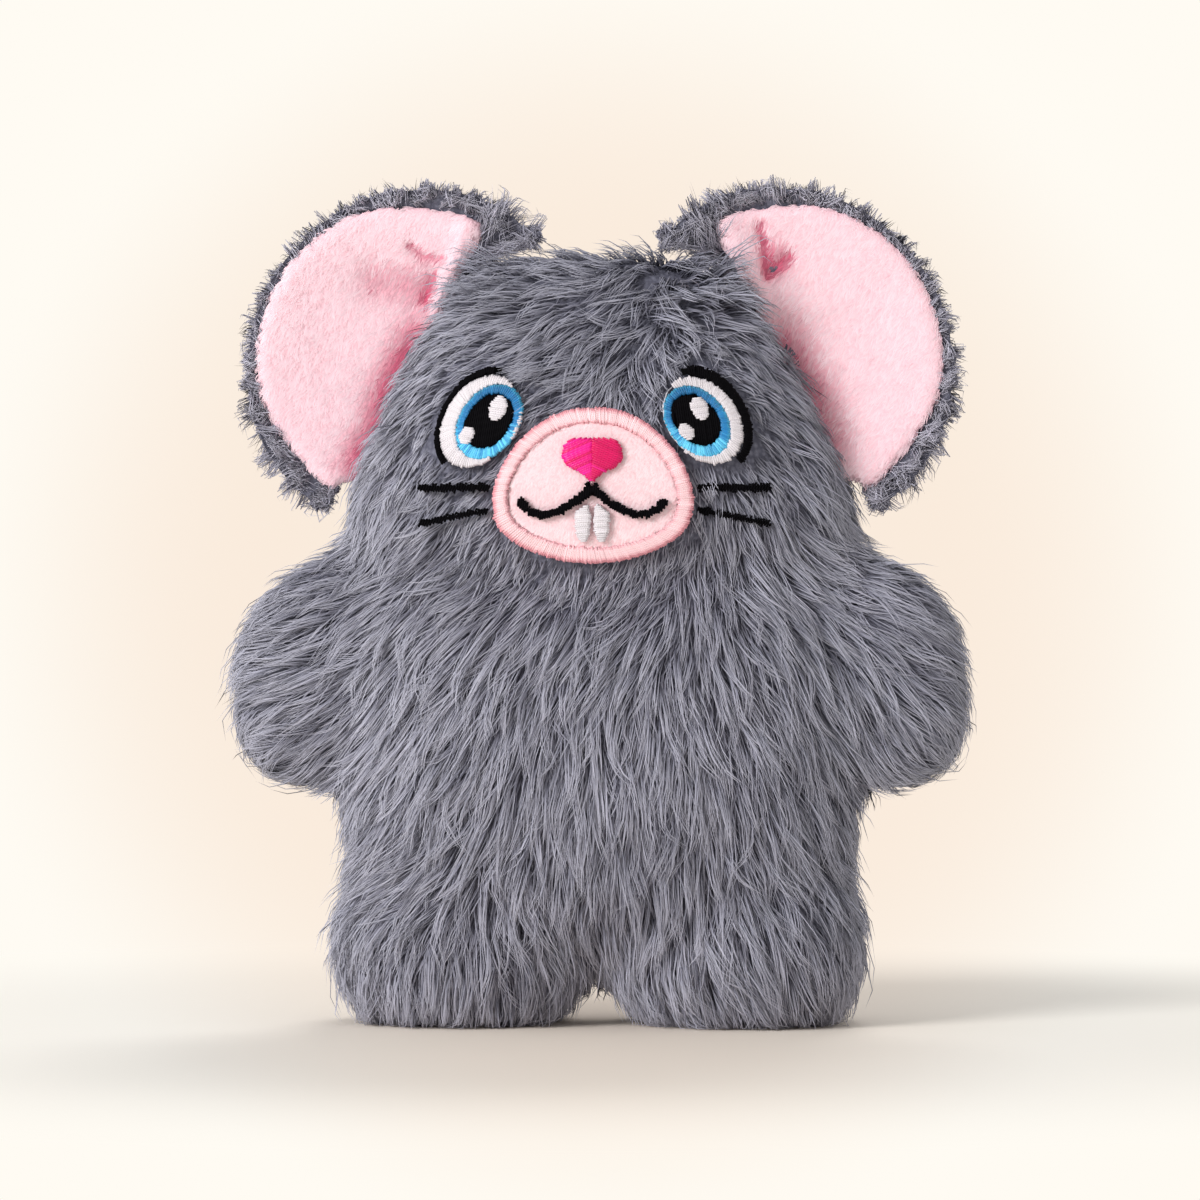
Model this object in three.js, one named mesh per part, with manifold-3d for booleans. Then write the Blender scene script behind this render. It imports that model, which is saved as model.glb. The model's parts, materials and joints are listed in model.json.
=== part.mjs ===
// A stuffed plush mouse for a cat, standing on two stub legs. Every stuffed part is a cover of a front and
// a back panel sewn together round its own filling. The face is embroidered on the head, the cupped ears
// and the flipper arms are sewn on and bend at their roots, and a catnip pouch lies in the belly.
// Millimetres. +Z is up, the mouse faces -Y, so its own left side is +X.
// The origin is on the floor, midway between the legs.
import * as THREE from "three";
import { mergeVertices } from "three/addons/utils/BufferGeometryUtils.js";
import Module from "manifold-3d";

// Sewing sizes that every piece shares
const sewnGap = 0.3; // clearance left between two pieces that lie against each other
const coverWall = 3; // plush cover: backing cloth and its combed-down pile
const rootWall = 1.2; // cover where it lies against a neighbour and has no pile

// Stuffed forms. A row of shares is [half width, half depth, height], from the foot of the form up.
const torso = {
  base: 10,
  height: 70,
  width: 86,
  depth: 46,
  shares: [
    [0, 0, 0],
    [0.45, 0.42, 0.015],
    [0.76, 0.7, 0.05],
    [0.9, 0.85, 0.1],
    [0.96, 0.94, 0.18],
    [0.97, 1, 0.35],
    [0.985, 0.985, 0.5],
    [1, 0.94, 0.65],
    [1, 0.86, 0.78],
    [0.95, 0.7, 0.88],
    [0.8, 0.48, 0.95],
    [0.5, 0.25, 0.99],
    [0, 0, 1],
  ],
};

const head = {
  base: 66,
  height: 59,
  width: 84,
  depth: 40,
  shares: [
    [0, 0, 0],
    [0.42, 0.42, 0.02],
    [0.76, 0.76, 0.07],
    [0.94, 0.93, 0.15],
    [1, 1, 0.27],
    [0.94, 0.99, 0.4],
    [0.85, 0.93, 0.55],
    [0.75, 0.81, 0.7],
    [0.64, 0.66, 0.82],
    [0.47, 0.47, 0.92],
    [0.26, 0.26, 0.98],
    [0, 0, 1],
  ],
};

const soleCut = 0.5; // depth of the flat that a leg stands on
const legGap = 0.8; // between the two legs at their widest
const leg = {
  height: 30,
  width: 43.2,
  depth: 41,
  shares: [
    [0, 0, 0],
    [0.45, 0.42, 0.008],
    [0.66, 0.62, 0.03],
    [0.82, 0.78, 0.09],
    [0.92, 0.89, 0.17],
    [0.98, 0.96, 0.28],
    [1, 1, 0.45],
    [0.96, 0.95, 0.65],
    [0.8, 0.78, 0.82],
    [0.45, 0.45, 0.95],
    [0, 0, 1],
  ],
};

const arm = {
  base: 35.5,
  height: 42,
  width: 39.6,
  depth: 26,
  reach: 16.8, // past the torso's side
  forward: 25, // degrees that it bends to the front
  back: 20, // degrees that it bends to the back
  shares: [
    [0, 0, 0],
    [0.42, 0.4, 0.03],
    [0.71, 0.66, 0.08],
    [0.87, 0.82, 0.16],
    [0.97, 0.94, 0.27],
    [1, 1, 0.42],
    [0.965, 0.97, 0.58],
    [0.85, 0.88, 0.73],
    [0.68, 0.72, 0.84],
    [0.42, 0.48, 0.93],
    [0.2, 0.25, 0.98],
    [0, 0, 1],
  ],
};

// The round root that an arm turns on, let into the torso's side
const shoulder = {
  inset: 6, // of its upright axis from the torso's side
  rise: 28, // of its foot over the torso's
  radius: 14,
  height: 32,
  shares: [
    [0, 0, 0],
    [0.38, 0.38, 0.04],
    [0.71, 0.71, 0.146],
    [0.92, 0.92, 0.31],
    [1, 1, 0.5],
    [0.92, 0.92, 0.69],
    [0.71, 0.71, 0.854],
    [0.38, 0.38, 0.96],
    [0, 0, 1],
  ],
};

// A flat pillow of catnip in a pocket of the belly's filling, under the front panel
const pouch = {
  rise: 20, // of its foot over the torso's
  height: 26,
  width: 34,
  depth: 9,
  shares: [
    [0, 0, 0],
    [0.8, 0.2, 0.02],
    [0.95, 0.7, 0.15],
    [1, 1, 0.5],
    [0.95, 0.7, 0.85],
    [0.8, 0.2, 0.98],
    [0, 0, 1],
  ],
};

// An ear is a cupped round of grey plush with a smaller round of short pink plush laid in its front.
const ear = {
  length: 58.6, // along the root, from the crown down to the cheek
  reach: 55, // across the root
  thickness: 4,
  cup: 6.5, // how far the rim stands in front of the middle
  spread: 29.8, // of the ear's middle from the mouse's middle
  rise: 39.8, // of the ear's middle over the chin
  lean: 32, // degrees from upright to the root
  set: 1, // of the cup's own plane behind the middle of the head
  root: 1.5, // from the ear's middle out to the line that it folds about
  rollRadius: 4.5, // a spindle of gathered cloth along that line, let into the head's side
  rollLength: 46,
  forward: 35, // degrees that it folds to the front
  back: 25, // degrees that it folds to the back
};
const lining = {
  length: 50,
  reach: 51.2,
  thickness: 2,
  inner: 1, // of its straight side from the middle
};
const cupLevelShare = 0.4; // where the cup crosses its own plane

// Face. A rise is a height over the chin, and a row of shares is [half width, half height] from the top.
const mouth = {
  width: 23.2,
  cheek: 4.2, // from the mouth's corner to the muzzle's edge
  dip: 4.3, // from the middle of the lip down to the lowest stitch
  lift: 1.7, // of the upright stitch under the nose
  line: 1.9,
  rise: 19.1,
  shares: [
    [0, 1],
    [0.24, 0.42],
    [0.6, 0],
    [0.86, 0.16],
    [1, 0.6],
  ],
};
const muzzle = {
  width: mouth.width + 2 * mouth.cheek,
  height: 24.4,
  rise: 19.4,
  thickness: 1.2,
  border: 3, // width of the satin-stitched border
  borderThickness: 1.7,
  shares: [
    [0, 1],
    [0.3, 0.95],
    [0.56, 0.77],
    [0.79, 0.48],
    [0.955, 0.1],
    [1, -0.25],
    [0.93, -0.56],
    [0.7, -0.79],
    [0.35, -0.95],
    [0, -1],
  ],
};
const nose = {
  width: 9.7,
  height: 7,
  rise: 23.2,
  shares: [
    [0, 1],
    [0.45, 1],
    [0.8, 0.85],
    [1, 0.25],
    [0.8, -0.25],
    [0.3, -0.6],
    [0, -1],
  ],
};
const tooth = { width: 2.6, height: 6.8, rise: 10.4 };
const stitchThickness = 0.8; // of the nose, mouth, teeth and whiskers
const eye = { spacing: 35.8, rise: 30, tilt: 25, thickness: 0.9 };
const eyeWhite = { width: 12.6, height: 14.2 };
const iris = { width: 10.4, height: 11.6, inward: 0.7 };
const pupil = { width: 7.8, height: 8.6, inward: 1.1 };
const glint = { width: 3.1, height: 3.7, across: 1.2, up: 1.9 };
const smallGlint = { width: 2.7, height: 2.6, across: -2.2, up: -1.9 };
const lash = { width: 1.5, from: -78, to: 80 }; // degrees round the white, from its outer side
const whisker = { line: 1.2, length: 11.4, clear: 0.5 }; // clear: of the muzzle's border
const whiskerRows = { upper: { rise: 19.1, drop: 0 }, lower: { rise: 15.6, drop: 2.2 } };

// How finely the forms are drawn
const fine = { sides: 24, rings: 12 };
const plain = { sides: 16, rings: 8 };
const earMesh = { sides: 26, rings: 8 };
const rollMesh = { sides: 12, rings: 8 };
const sweepStep = 12; // degrees between the places of a neighbour that a moving part has to clear
const outlineSteps = 36; // round the muzzle or the nose
const ovalSteps = 8;
const lineSteps = 12;
const sectionPower = 2.4; // superellipse power of a stuffed section, 2 is an ellipse
const rimPower = 0.5; // how square the edge of an ear is
const mergeDistance = 1e-4;
const positionParts = 3;

const wasm = await Module();
wasm.setup();

// Solids from geometry, and geometry from solids
function solidOf(geometry) {
  const bare = new THREE.BufferGeometry().setAttribute("position", geometry.getAttribute("position"));
  if (geometry.index) bare.setIndex(geometry.index);
  const merged = mergeVertices(bare, mergeDistance);
  return new wasm.Manifold(
    new wasm.Mesh({
      numProp: positionParts,
      vertProperties: merged.attributes.position.array,
      triVerts: new Uint32Array(merged.index.array),
    }),
  );
}

function geometryOf(solid) {
  const made = solid.getMesh();
  const geometry = new THREE.BufferGeometry();
  geometry.setAttribute("position", new THREE.BufferAttribute(made.vertProperties, made.numProp));
  geometry.setIndex(new THREE.BufferAttribute(made.triVerts, 1));
  geometry.computeVertexNormals();
  return geometry;
}

const sum = (solids) => solids.reduce((all, one) => all.add(one));
const powered = (value, power) => Math.sign(value) * Math.abs(value) ** power;
const sides = [["left", 1], ["right", -1]];

// A stuffed form is a unit ball whose rings take their size from the form's table.
// grow moves its whole skin outwards, or inwards when it is negative.
function stuffedGeometry(form, grow = 0, mesh = fine) {
  const curve = new THREE.CatmullRomCurve3(form.shares.map((row) => new THREE.Vector3(...row)));
  const geometry = new THREE.SphereGeometry(1, mesh.sides, mesh.rings).rotateX(Math.PI / 2);
  const place = geometry.attributes.position;
  const uv = geometry.attributes.uv;
  const corner = 2 / (form.round ? 2 : sectionPower);
  for (let i = 0; i < place.count; i++) {
    const ring = curve.getPoint(uv.getY(i));
    const turn = Math.atan2(place.getY(i), place.getX(i));
    const halfWidth = Math.max(ring.x, 0) * (form.width / 2 + grow);
    const halfDepth = Math.max(ring.y, 0) * (form.depth / 2 + grow);
    place.setXYZ(
      i,
      (form.x ?? 0) + halfWidth * powered(Math.cos(turn), corner),
      (form.y ?? 0) + halfDepth * powered(Math.sin(turn), corner),
      form.base - grow + ring.z * (form.height + 2 * grow),
    );
  }
  return geometry;
}

const stuffed = (form, grow, mesh) => solidOf(stuffedGeometry(form, grow, mesh));

function blockSolid(low, high) {
  const size = high.clone().sub(low);
  const middle = high.clone().add(low).divideScalar(2);
  return solidOf(new THREE.BoxGeometry(size.x, size.y, size.z).translate(middle.x, middle.y, middle.z));
}

const room = torso.width + head.height + torso.height; // larger than the whole mouse
const farLow = new THREE.Vector3(-room, -room, -room);
const farHigh = new THREE.Vector3(room, room, room);
const frontHalf = blockSolid(farLow, new THREE.Vector3(room, -sewnGap / 2, room));
const backHalf = blockSolid(new THREE.Vector3(-room, sewnGap / 2, -room), farHigh);
const underFloor = blockSolid(farLow, new THREE.Vector3(room, room, 0));

// The places that a neighbour takes, seen from a part that turns between its two limits, as one solid
function swept(geometry, point, axis, low, high) {
  const steps = Math.ceil((high - low) / sweepStep);
  const there = new THREE.Matrix4().makeTranslation(point.x, point.y, point.z);
  const back = new THREE.Matrix4().makeTranslation(-point.x, -point.y, -point.z);
  const places = [];
  for (let i = 0; i <= steps; i++) {
    const degrees = low + ((high - low) * i) / steps;
    const turn = new THREE.Matrix4().makeRotationAxis(axis, -THREE.MathUtils.degToRad(degrees));
    places.push(solidOf(geometry.clone().applyMatrix4(there.clone().multiply(turn).multiply(back))));
  }
  return sum(places);
}

// Materials
const cloth = (colour) => new THREE.MeshStandardMaterial({ color: colour, roughness: 0.95, metalness: 0 });
const thread = (colour) => new THREE.MeshStandardMaterial({ color: colour, roughness: 0.6, metalness: 0 });
const greyPlush = cloth(0x84848f);
const pinkPlush = cloth(0xf6bccb);
const muzzlePlush = cloth(0xfbd6da);
const fibre = cloth(0xf4f4f0);
const cotton = cloth(0xd9cdb4);
const pinkThread = thread(0xf3b4b8);
const magentaThread = thread(0xe8107c);
const blackThread = thread(0x14121a);
const whiteThread = thread(0xf3eeea);
const blueThread = thread(0x2f95cf);

const mouse = new THREE.Group();

function sew(name, solid, material) {
  const mesh = new THREE.Mesh(geometryOf(solid), material);
  mesh.name = name;
  mouse.add(mesh);
}

// A stuffed part is made three times: its outside, the inside of its cover, and its filling. shaped takes
// how far in the skin is, how finely it is drawn, and how far it stays off the parts that it lies against.
function sewStuffed(name, shaped) {
  const outer = shaped(0, fine, sewnGap);
  const inner = shaped(-coverWall, plain, sewnGap + rootWall);
  const filling = shaped(-coverWall - sewnGap, plain, 2 * sewnGap + rootWall);
  const cover = outer.subtract(inner);
  sew(`${name}_front_panel`, cover.intersect(frontHalf), greyPlush);
  sew(`${name}_back_panel`, cover.intersect(backHalf), greyPlush);
  return filling;
}

// Shoulder roots: round about the upright axis that an arm bends on
const shoulderX = torso.width / 2 - shoulder.inset;

function shoulderRoot(side, grow) {
  const form = {
    ...shoulder,
    round: true,
    x: side * shoulderX,
    base: torso.base + shoulder.rise,
    width: 2 * shoulder.radius,
    depth: 2 * shoulder.radius,
  };
  return stuffed(form, grow, plain);
}

// Torso: hollowed at the sides for the arms' roots, with the catnip in a pocket of its filling
const pouchForm = {
  ...pouch,
  base: torso.base + pouch.rise,
  y: -(torso.depth / 2 - coverWall - 2 * sewnGap - pouch.depth / 2),
};
const pocketMouth = blockSolid(
  new THREE.Vector3(-pouch.width / 2 - sewnGap, -torso.depth, pouchForm.base - sewnGap),
  new THREE.Vector3(pouch.width / 2 + sewnGap, pouchForm.y, pouchForm.base + pouch.height + sewnGap),
);
const torsoFilling = sewStuffed("torso", (inset, mesh, clear) =>
  stuffed(torso, inset, mesh).subtract(shoulderRoot(1, clear)).subtract(shoulderRoot(-1, clear)),
);
const pocket = stuffed(pouchForm, sewnGap, plain).add(pocketMouth);
sew("torso_filling", torsoFilling.subtract(pocket), fibre);
sew("catnip_pouch", stuffed(pouchForm, 0, plain), cotton);

// Ear frame: across the root along X, out of the ear's back along Y, and along the root on Z
function earPlace(side) {
  const lean = new THREE.Matrix4().makeRotationY(THREE.MathUtils.degToRad(-ear.lean));
  const stand = new THREE.Matrix4().makeTranslation(ear.spread, ear.set, head.base + ear.rise);
  return new THREE.Matrix4().makeScale(side, 1, 1).multiply(stand).multiply(lean);
}

function onEar(geometry, side) {
  const placed = geometry.applyMatrix4(earPlace(side));
  if (side < 0) placed.setIndex([...placed.index.array].reverse());
  return solidOf(placed);
}

const rootPoint = new THREE.Vector3(ear.root, ear.cup * cupLevelShare, 0);

// The gathered cloth along an ear's root, round about the line that the ear folds on
function earRoll(side, grow) {
  const radius = ear.rollRadius + grow;
  const spindle = new THREE.SphereGeometry(1, rollMesh.sides, rollMesh.rings).rotateX(Math.PI / 2);
  spindle.scale(radius, radius, ear.rollLength / 2 + grow);
  return onEar(spindle.translate(rootPoint.x, rootPoint.y, rootPoint.z), side);
}

// Head: one swelling form from the chin to the crown, sat on the torso and grooved for the ears' roots
const headFilling = sewStuffed("head", (inset, mesh, clear) =>
  stuffed(head, inset, mesh)
    .subtract(stuffed(torso, clear))
    .subtract(earRoll(1, clear))
    .subtract(earRoll(-1, clear)),
);
sew("head_filling", headFilling, fibre);

// Legs: stub lobes under the torso, flat at the sole
for (const [name, side] of sides) {
  const form = { ...leg, base: -soleCut, x: (side * (leg.width + legGap)) / 2 };
  const filling = sewStuffed(`leg_${name}`, (inset, mesh, clear) =>
    stuffed(form, inset, mesh).subtract(stuffed(torso, clear)).subtract(underFloor),
  );
  sew(`leg_${name}_filling`, filling, fibre);
}

// Arms: flippers that hang from the shoulder, trimmed to clear the torso and the head as they bend
for (const [name, side] of sides) {
  const form = { ...arm, x: side * (torso.width / 2 + arm.reach - arm.width / 2) };
  const point = new THREE.Vector3(side * shoulderX, 0, 0);
  const axis = new THREE.Vector3(0, 0, -side);
  const bent = (neighbour, clear) =>
    swept(stuffedGeometry(neighbour, clear), point, axis, -arm.back, arm.forward);
  const filling = sewStuffed(`arm_${name}`, (inset, mesh, clear) =>
    stuffed(form, inset, mesh)
      .subtract(bent(torso, clear))
      .add(shoulderRoot(side, inset))
      .subtract(bent(head, clear)),
  );
  sew(`arm_${name}_filling`, filling, fibre);
}

// Ears: a padded round, cupped to the front, between two levels over the cup
function cupped(length, reach, front, back) {
  const geometry = new THREE.SphereGeometry(1, earMesh.sides, earMesh.rings).rotateX(Math.PI / 2);
  const place = geometry.attributes.position;
  for (let i = 0; i < place.count; i++) {
    const flat = Math.hypot(place.getX(i), place.getY(i));
    const turn = Math.atan2(place.getY(i), place.getX(i));
    const edge = powered(flat, rimPower);
    const along = (edge * Math.cos(turn) * length) / 2;
    const across = (edge * Math.sin(turn) * reach) / 2;
    const out = ((2 * along) / ear.length) ** 2 + ((2 * across) / ear.reach) ** 2;
    const level = (front + back + powered(place.getZ(i), rimPower) * (front - back)) / 2;
    place.setXYZ(i, across, -ear.cup * (out - cupLevelShare) - level, -along);
  }
  return geometry;
}

for (const [name, side] of sides) {
  const point = rootPoint.clone().applyMatrix4(earPlace(side));
  const axis = new THREE.Vector3(0, 0, -side).transformDirection(earPlace(side));
  const turnsPast = swept(stuffedGeometry(head, sewnGap), point, axis, -ear.back, ear.forward);
  const front = ear.thickness / 2;
  const round = onEar(cupped(ear.length, ear.reach, front, -front), side);
  const liningFront = front + sewnGap + lining.thickness;
  const pad = onEar(cupped(lining.length, lining.reach, liningFront, front + sewnGap), side);
  const inside = new THREE.BoxGeometry(room, room, room).translate(lining.inner - room / 2, 0, 0);
  sew(`ear_${name}_back`, round.subtract(turnsPast).add(earRoll(side, 0)), greyPlush);
  const laid = pad.subtract(turnsPast).subtract(onEar(inside, side)).subtract(earRoll(side, sewnGap));
  sew(`ear_${name}_lining`, laid, pinkPlush);
}

// Face: each patch or stitched field is a flat outline carried back on to the head's skin
function prism(shape) {
  const options = { depth: head.depth, bevelEnabled: false, curveSegments: ovalSteps };
  return solidOf(new THREE.ExtrudeGeometry(shape, options).rotateX(Math.PI / 2));
}

function onHead(outline, lift, thickness) {
  return outline.intersect(stuffed(head, lift + thickness)).subtract(stuffed(head, lift));
}

function oval(x, z, width, height, degrees) {
  const shape = new THREE.Shape();
  const turn = THREE.MathUtils.degToRad(degrees);
  shape.absellipse(x, z, width / 2, height / 2, 0, 2 * Math.PI, false, turn);
  return prism(shape);
}

// A closed outline, alike on both sides, through a table of half widths and half heights
function rounded(field, grow) {
  const halfWidth = field.width / 2 + grow;
  const halfHeight = field.height / 2 + grow;
  const middle = head.base + field.rise;
  const row = (side) => ([x, z]) => new THREE.Vector3(side * x * halfWidth, middle + z * halfHeight, 0);
  const oneSide = field.shares.map(row(1));
  const otherSide = field.shares.slice(1, -1).reverse().map(row(-1));
  const points = new THREE.CatmullRomCurve3([...oneSide, ...otherSide], true).getPoints(outlineSteps);
  return prism(new THREE.Shape(points.slice(0, -1).map((point) => new THREE.Vector2(point.x, point.y))));
}

// A stitched line of even width along a curve
function ribbon(points, width, steps) {
  const curve = new THREE.SplineCurve(points.map((point) => new THREE.Vector2(...point)));
  const near = [];
  const far = [];
  for (let i = 0; i <= steps; i++) {
    const middle = curve.getPoint(i / steps);
    const along = curve.getTangent(i / steps);
    const out = new THREE.Vector2(-along.y, along.x).multiplyScalar(width / 2);
    near.push(middle.clone().add(out));
    far.unshift(middle.clone().sub(out));
  }
  return prism(new THREE.Shape([...near, ...far]));
}

// Muzzle: a soft patch inside a satin-stitched border
const patch = rounded(muzzle, -muzzle.border - sewnGap);
const border = rounded(muzzle, 0).subtract(rounded(muzzle, -muzzle.border));
sew("muzzle_patch", onHead(patch, sewnGap, muzzle.thickness), muzzlePlush);
sew("muzzle_border", onHead(border, sewnGap, muzzle.borderThickness), pinkThread);

// Nose, mouth and teeth: stitched on the muzzle patch
const onPatch = sewnGap + muzzle.thickness + sewnGap;
sew("nose_stitch", onHead(rounded(nose, 0), onPatch, stitchThickness), magentaThread);

const lipHeight = head.base + mouth.rise;

function mouthLine(grow) {
  const width = mouth.line + 2 * grow;
  const arcs = sides.map(([, side]) => {
    const place = ([x, z]) => [(side * x * mouth.width) / 2, lipHeight + (z - 1) * mouth.dip];
    const points = mouth.shares.map(place);
    return ribbon(points, width, lineSteps);
  });
  return sum([...arcs, ribbon([[0, lipHeight - mouth.line / 2], [0, lipHeight + mouth.lift]], width, 1)]);
}
const stitchedMouth = mouthLine(0).subtract(rounded(nose, sewnGap));
sew("mouth_stitch", onHead(stitchedMouth, onPatch, stitchThickness), blackThread);

const aboveLip = blockSolid(new THREE.Vector3(-room, -room, lipHeight - mouth.line), farHigh);
for (const [name, side] of sides) {
  const x = (side * (tooth.width + sewnGap)) / 2;
  const whole = oval(x, head.base + tooth.rise + tooth.height / 2, tooth.width, tooth.height, 0);
  const shown = whole.intersect(patch).subtract(mouthLine(sewnGap)).subtract(aboveLip);
  sew(`tooth_${name}_stitch`, onHead(shown, onPatch, stitchThickness), whiteThread);
}

// Eyes: fields of satin stitch side by side, with a lash line round the upper outer edge
for (const [name, side] of sides) {
  const x = (side * eye.spacing) / 2;
  const z = head.base + eye.rise;
  const field = (size, grow) => {
    const inward = size.inward ?? 0;
    return oval(x - side * inward, z, size.width + 2 * grow, size.height + 2 * grow, side * eye.tilt);
  };
  const light = (size, grow) => {
    const across = x - side * pupil.inward + size.across;
    return oval(across, z + size.up, size.width + 2 * grow, size.height + 2 * grow, 0);
  };
  const lights = light(glint, sewnGap).add(light(smallGlint, sewnGap));
  const lean = THREE.MathUtils.degToRad(eye.tilt);
  const lashPoints = [];
  for (let i = 0; i <= lineSteps; i++) {
    const turn = THREE.MathUtils.degToRad(lash.from + ((lash.to - lash.from) * i) / lineSteps);
    const out = (eyeWhite.width / 2 + lash.width / 2 + sewnGap) * Math.cos(turn);
    const up = (eyeWhite.height / 2 + lash.width / 2 + sewnGap) * Math.sin(turn);
    const across = out * Math.cos(lean) - up * Math.sin(lean);
    lashPoints.push([x + side * across, z + out * Math.sin(lean) + up * Math.cos(lean)]);
  }
  const fields = {
    white: [field(eyeWhite, 0).subtract(field(iris, sewnGap)).subtract(lights), whiteThread],
    iris: [field(iris, 0).subtract(field(pupil, sewnGap)).subtract(lights), blueThread],
    pupil: [field(pupil, 0).subtract(lights), blackThread],
    glint: [light(glint, 0), whiteThread],
    small_glint: [light(smallGlint, 0), whiteThread],
    lash: [ribbon(lashPoints, lash.width, 2 * lineSteps), blackThread],
  };
  for (const [part, [outline, material]] of Object.entries(fields)) {
    sew(`eye_${name}_${part}`, onHead(outline, sewnGap, eye.thickness), material);
  }
}

// Whiskers: two short rows of black stitches on each cheek
for (const [name, side] of sides) {
  for (const [row, { rise, drop }] of Object.entries(whiskerRows)) {
    const inner = muzzle.width / 2 + whisker.clear;
    const z = head.base + rise;
    const line = ribbon([[side * inner, z], [side * (inner + whisker.length), z - drop]], whisker.line, 1);
    sew(`whisker_${name}_${row}_stitch`, onHead(line, sewnGap, stitchThickness), blackThread);
  }
}

export default mouse;
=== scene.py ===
import json
import math

import bmesh
import bpy
import numpy as np
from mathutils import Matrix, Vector, noise
from mathutils.bvhtree import BVHTree


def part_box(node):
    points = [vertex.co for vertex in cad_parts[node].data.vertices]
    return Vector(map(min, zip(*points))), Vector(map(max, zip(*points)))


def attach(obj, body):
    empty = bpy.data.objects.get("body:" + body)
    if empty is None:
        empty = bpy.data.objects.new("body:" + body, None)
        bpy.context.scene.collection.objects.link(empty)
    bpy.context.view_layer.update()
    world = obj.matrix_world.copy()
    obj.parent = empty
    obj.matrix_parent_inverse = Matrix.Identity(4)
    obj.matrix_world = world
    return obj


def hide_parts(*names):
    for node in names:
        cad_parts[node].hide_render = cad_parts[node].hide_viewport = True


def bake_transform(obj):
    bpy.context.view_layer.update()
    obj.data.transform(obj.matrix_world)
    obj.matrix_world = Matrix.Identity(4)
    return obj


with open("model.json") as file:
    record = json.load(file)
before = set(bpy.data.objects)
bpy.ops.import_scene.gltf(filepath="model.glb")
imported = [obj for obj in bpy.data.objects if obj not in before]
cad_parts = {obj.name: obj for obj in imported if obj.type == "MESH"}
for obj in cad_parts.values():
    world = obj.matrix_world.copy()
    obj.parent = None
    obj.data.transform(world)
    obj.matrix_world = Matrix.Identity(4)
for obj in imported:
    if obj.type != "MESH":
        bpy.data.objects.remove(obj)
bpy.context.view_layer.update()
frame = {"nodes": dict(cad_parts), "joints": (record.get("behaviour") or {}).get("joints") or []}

mm = 0.001


# Camera
# The toy is seen straight on from a little to its left, through a long lens, so the picture is 192 mm
# wide where the toy stands.
view_width = 192 * mm
view_height = 67.5 * mm
camera_distance = 800 * mm
camera_turn = math.radians(3.2)
sensor = 36


def in_scene(name, data):
    """A new object in the scene."""
    made = bpy.data.objects.new(name, data)
    bpy.context.scene.collection.objects.link(made)
    return made


camera_data = bpy.data.cameras.new("camera")
camera_data.sensor_width = sensor
camera_data.lens = sensor * camera_distance / view_width
camera = in_scene("camera", camera_data)
toy_middle = Vector((0, 0, view_height))
camera_side = Vector((math.sin(camera_turn), -math.cos(camera_turn), 0))
camera.location = toy_middle + camera_side * camera_distance
camera.rotation_euler = camera_side.to_track_quat("Z", "Y").to_euler()
bpy.context.scene.camera = camera
bpy.context.scene.view_settings.view_transform = "Standard"


# Studio
# A plain pale floor under a soft warm backdrop. A big soft lamp stands high on the left, a weaker one
# fills from the right and one behind lights the edge of the pile.
def srgb(red, green, blue):
    """An opaque linear colour from the 0 to 255 values that a picture shows."""
    parts = [value / 255 for value in (red, green, blue)]
    return (*(p / 12.92 if p <= 0.04045 else ((p + 0.055) / 1.055) ** 2.4 for p in parts), 1)


glow_colour = srgb(250, 235, 220)
backdrop_colour = srgb(255, 251, 243)
# How far off the middle of the view the glow ends and how far it is full, as cosines
glow_angles = (math.cos(math.radians(7.5)), math.cos(math.radians(3.5)))
floor_size = 6.0
floor_corners = 64
contact_reach = (90 * mm, 190 * mm)
ambient = 0.44
# Where each lamp stands, how wide it is and how strong
lamps = {
    "key_lamp": ((-0.85, -0.9, 0.5), 0.65, 13.5),
    "fill_lamp": ((0.7, -1.0, 0.4), 0.9, 0.25),
    "edge_lamp": ((0.15, 0.8, 0.7), 0.6, 4.0),
}


def node(tree, kind, inputs=None, **settings):
    """A shader node with its settings, and its inputs set to a value or linked to another node's output."""
    made = tree.nodes.new(kind)
    for name, value in settings.items():
        setattr(made, name, value)
    for name, value in (inputs or {}).items():
        if isinstance(value, bpy.types.NodeSocket):
            tree.links.new(value, made.inputs[name])
        else:
            made.inputs[name].default_value = value
    return made


def maths(tree, operation, *values):
    return node(tree, "ShaderNodeMath", dict(enumerate(values)), operation=operation).outputs[0]


def vector_maths(tree, operation, inputs):
    return node(tree, "ShaderNodeVectorMath", inputs, operation=operation).outputs


def eased(tree, value, low, high, ease="SMOOTHSTEP"):
    """How far a value has come from low to high, as 0 to 1."""
    inputs = {"Value": value, "From Min": low, "From Max": high}
    return node(tree, "ShaderNodeMapRange", inputs, interpolation_type=ease).outputs[0]


def mixed(tree, factor, one, two):
    """Two colours mixed by a factor."""
    return node(tree, "ShaderNodeMix", {0: factor, 6: one, 7: two}, data_type="RGBA").outputs[2]


def new_material(name):
    """A material with its node tree and its shader."""
    material = bpy.data.materials.new(name)
    material.use_nodes = True
    return material, material.node_tree, material.node_tree.nodes["Principled BSDF"]


def finished(shader, colour, roughness, specular):
    """Sets a shader's colour from a node, and its gloss on its own sockets."""
    shader.id_data.links.new(colour, shader.inputs["Base Color"])
    shader.inputs["Roughness"].default_value = roughness
    shader.inputs["Specular IOR Level"].default_value = specular


def glow(tree, direction):
    """The backdrop's colour: a painted warm glow behind the toy that fades to cream, fixed in the room. The
    floor takes it too.
    """
    aim = vector_maths(tree, "NORMALIZE", {0: direction})[0]
    lined = vector_maths(tree, "DOT_PRODUCT", {0: aim, 1: -camera_side})["Value"]
    return mixed(tree, eased(tree, lined, *glow_angles), backdrop_colour, glow_colour)


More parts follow.
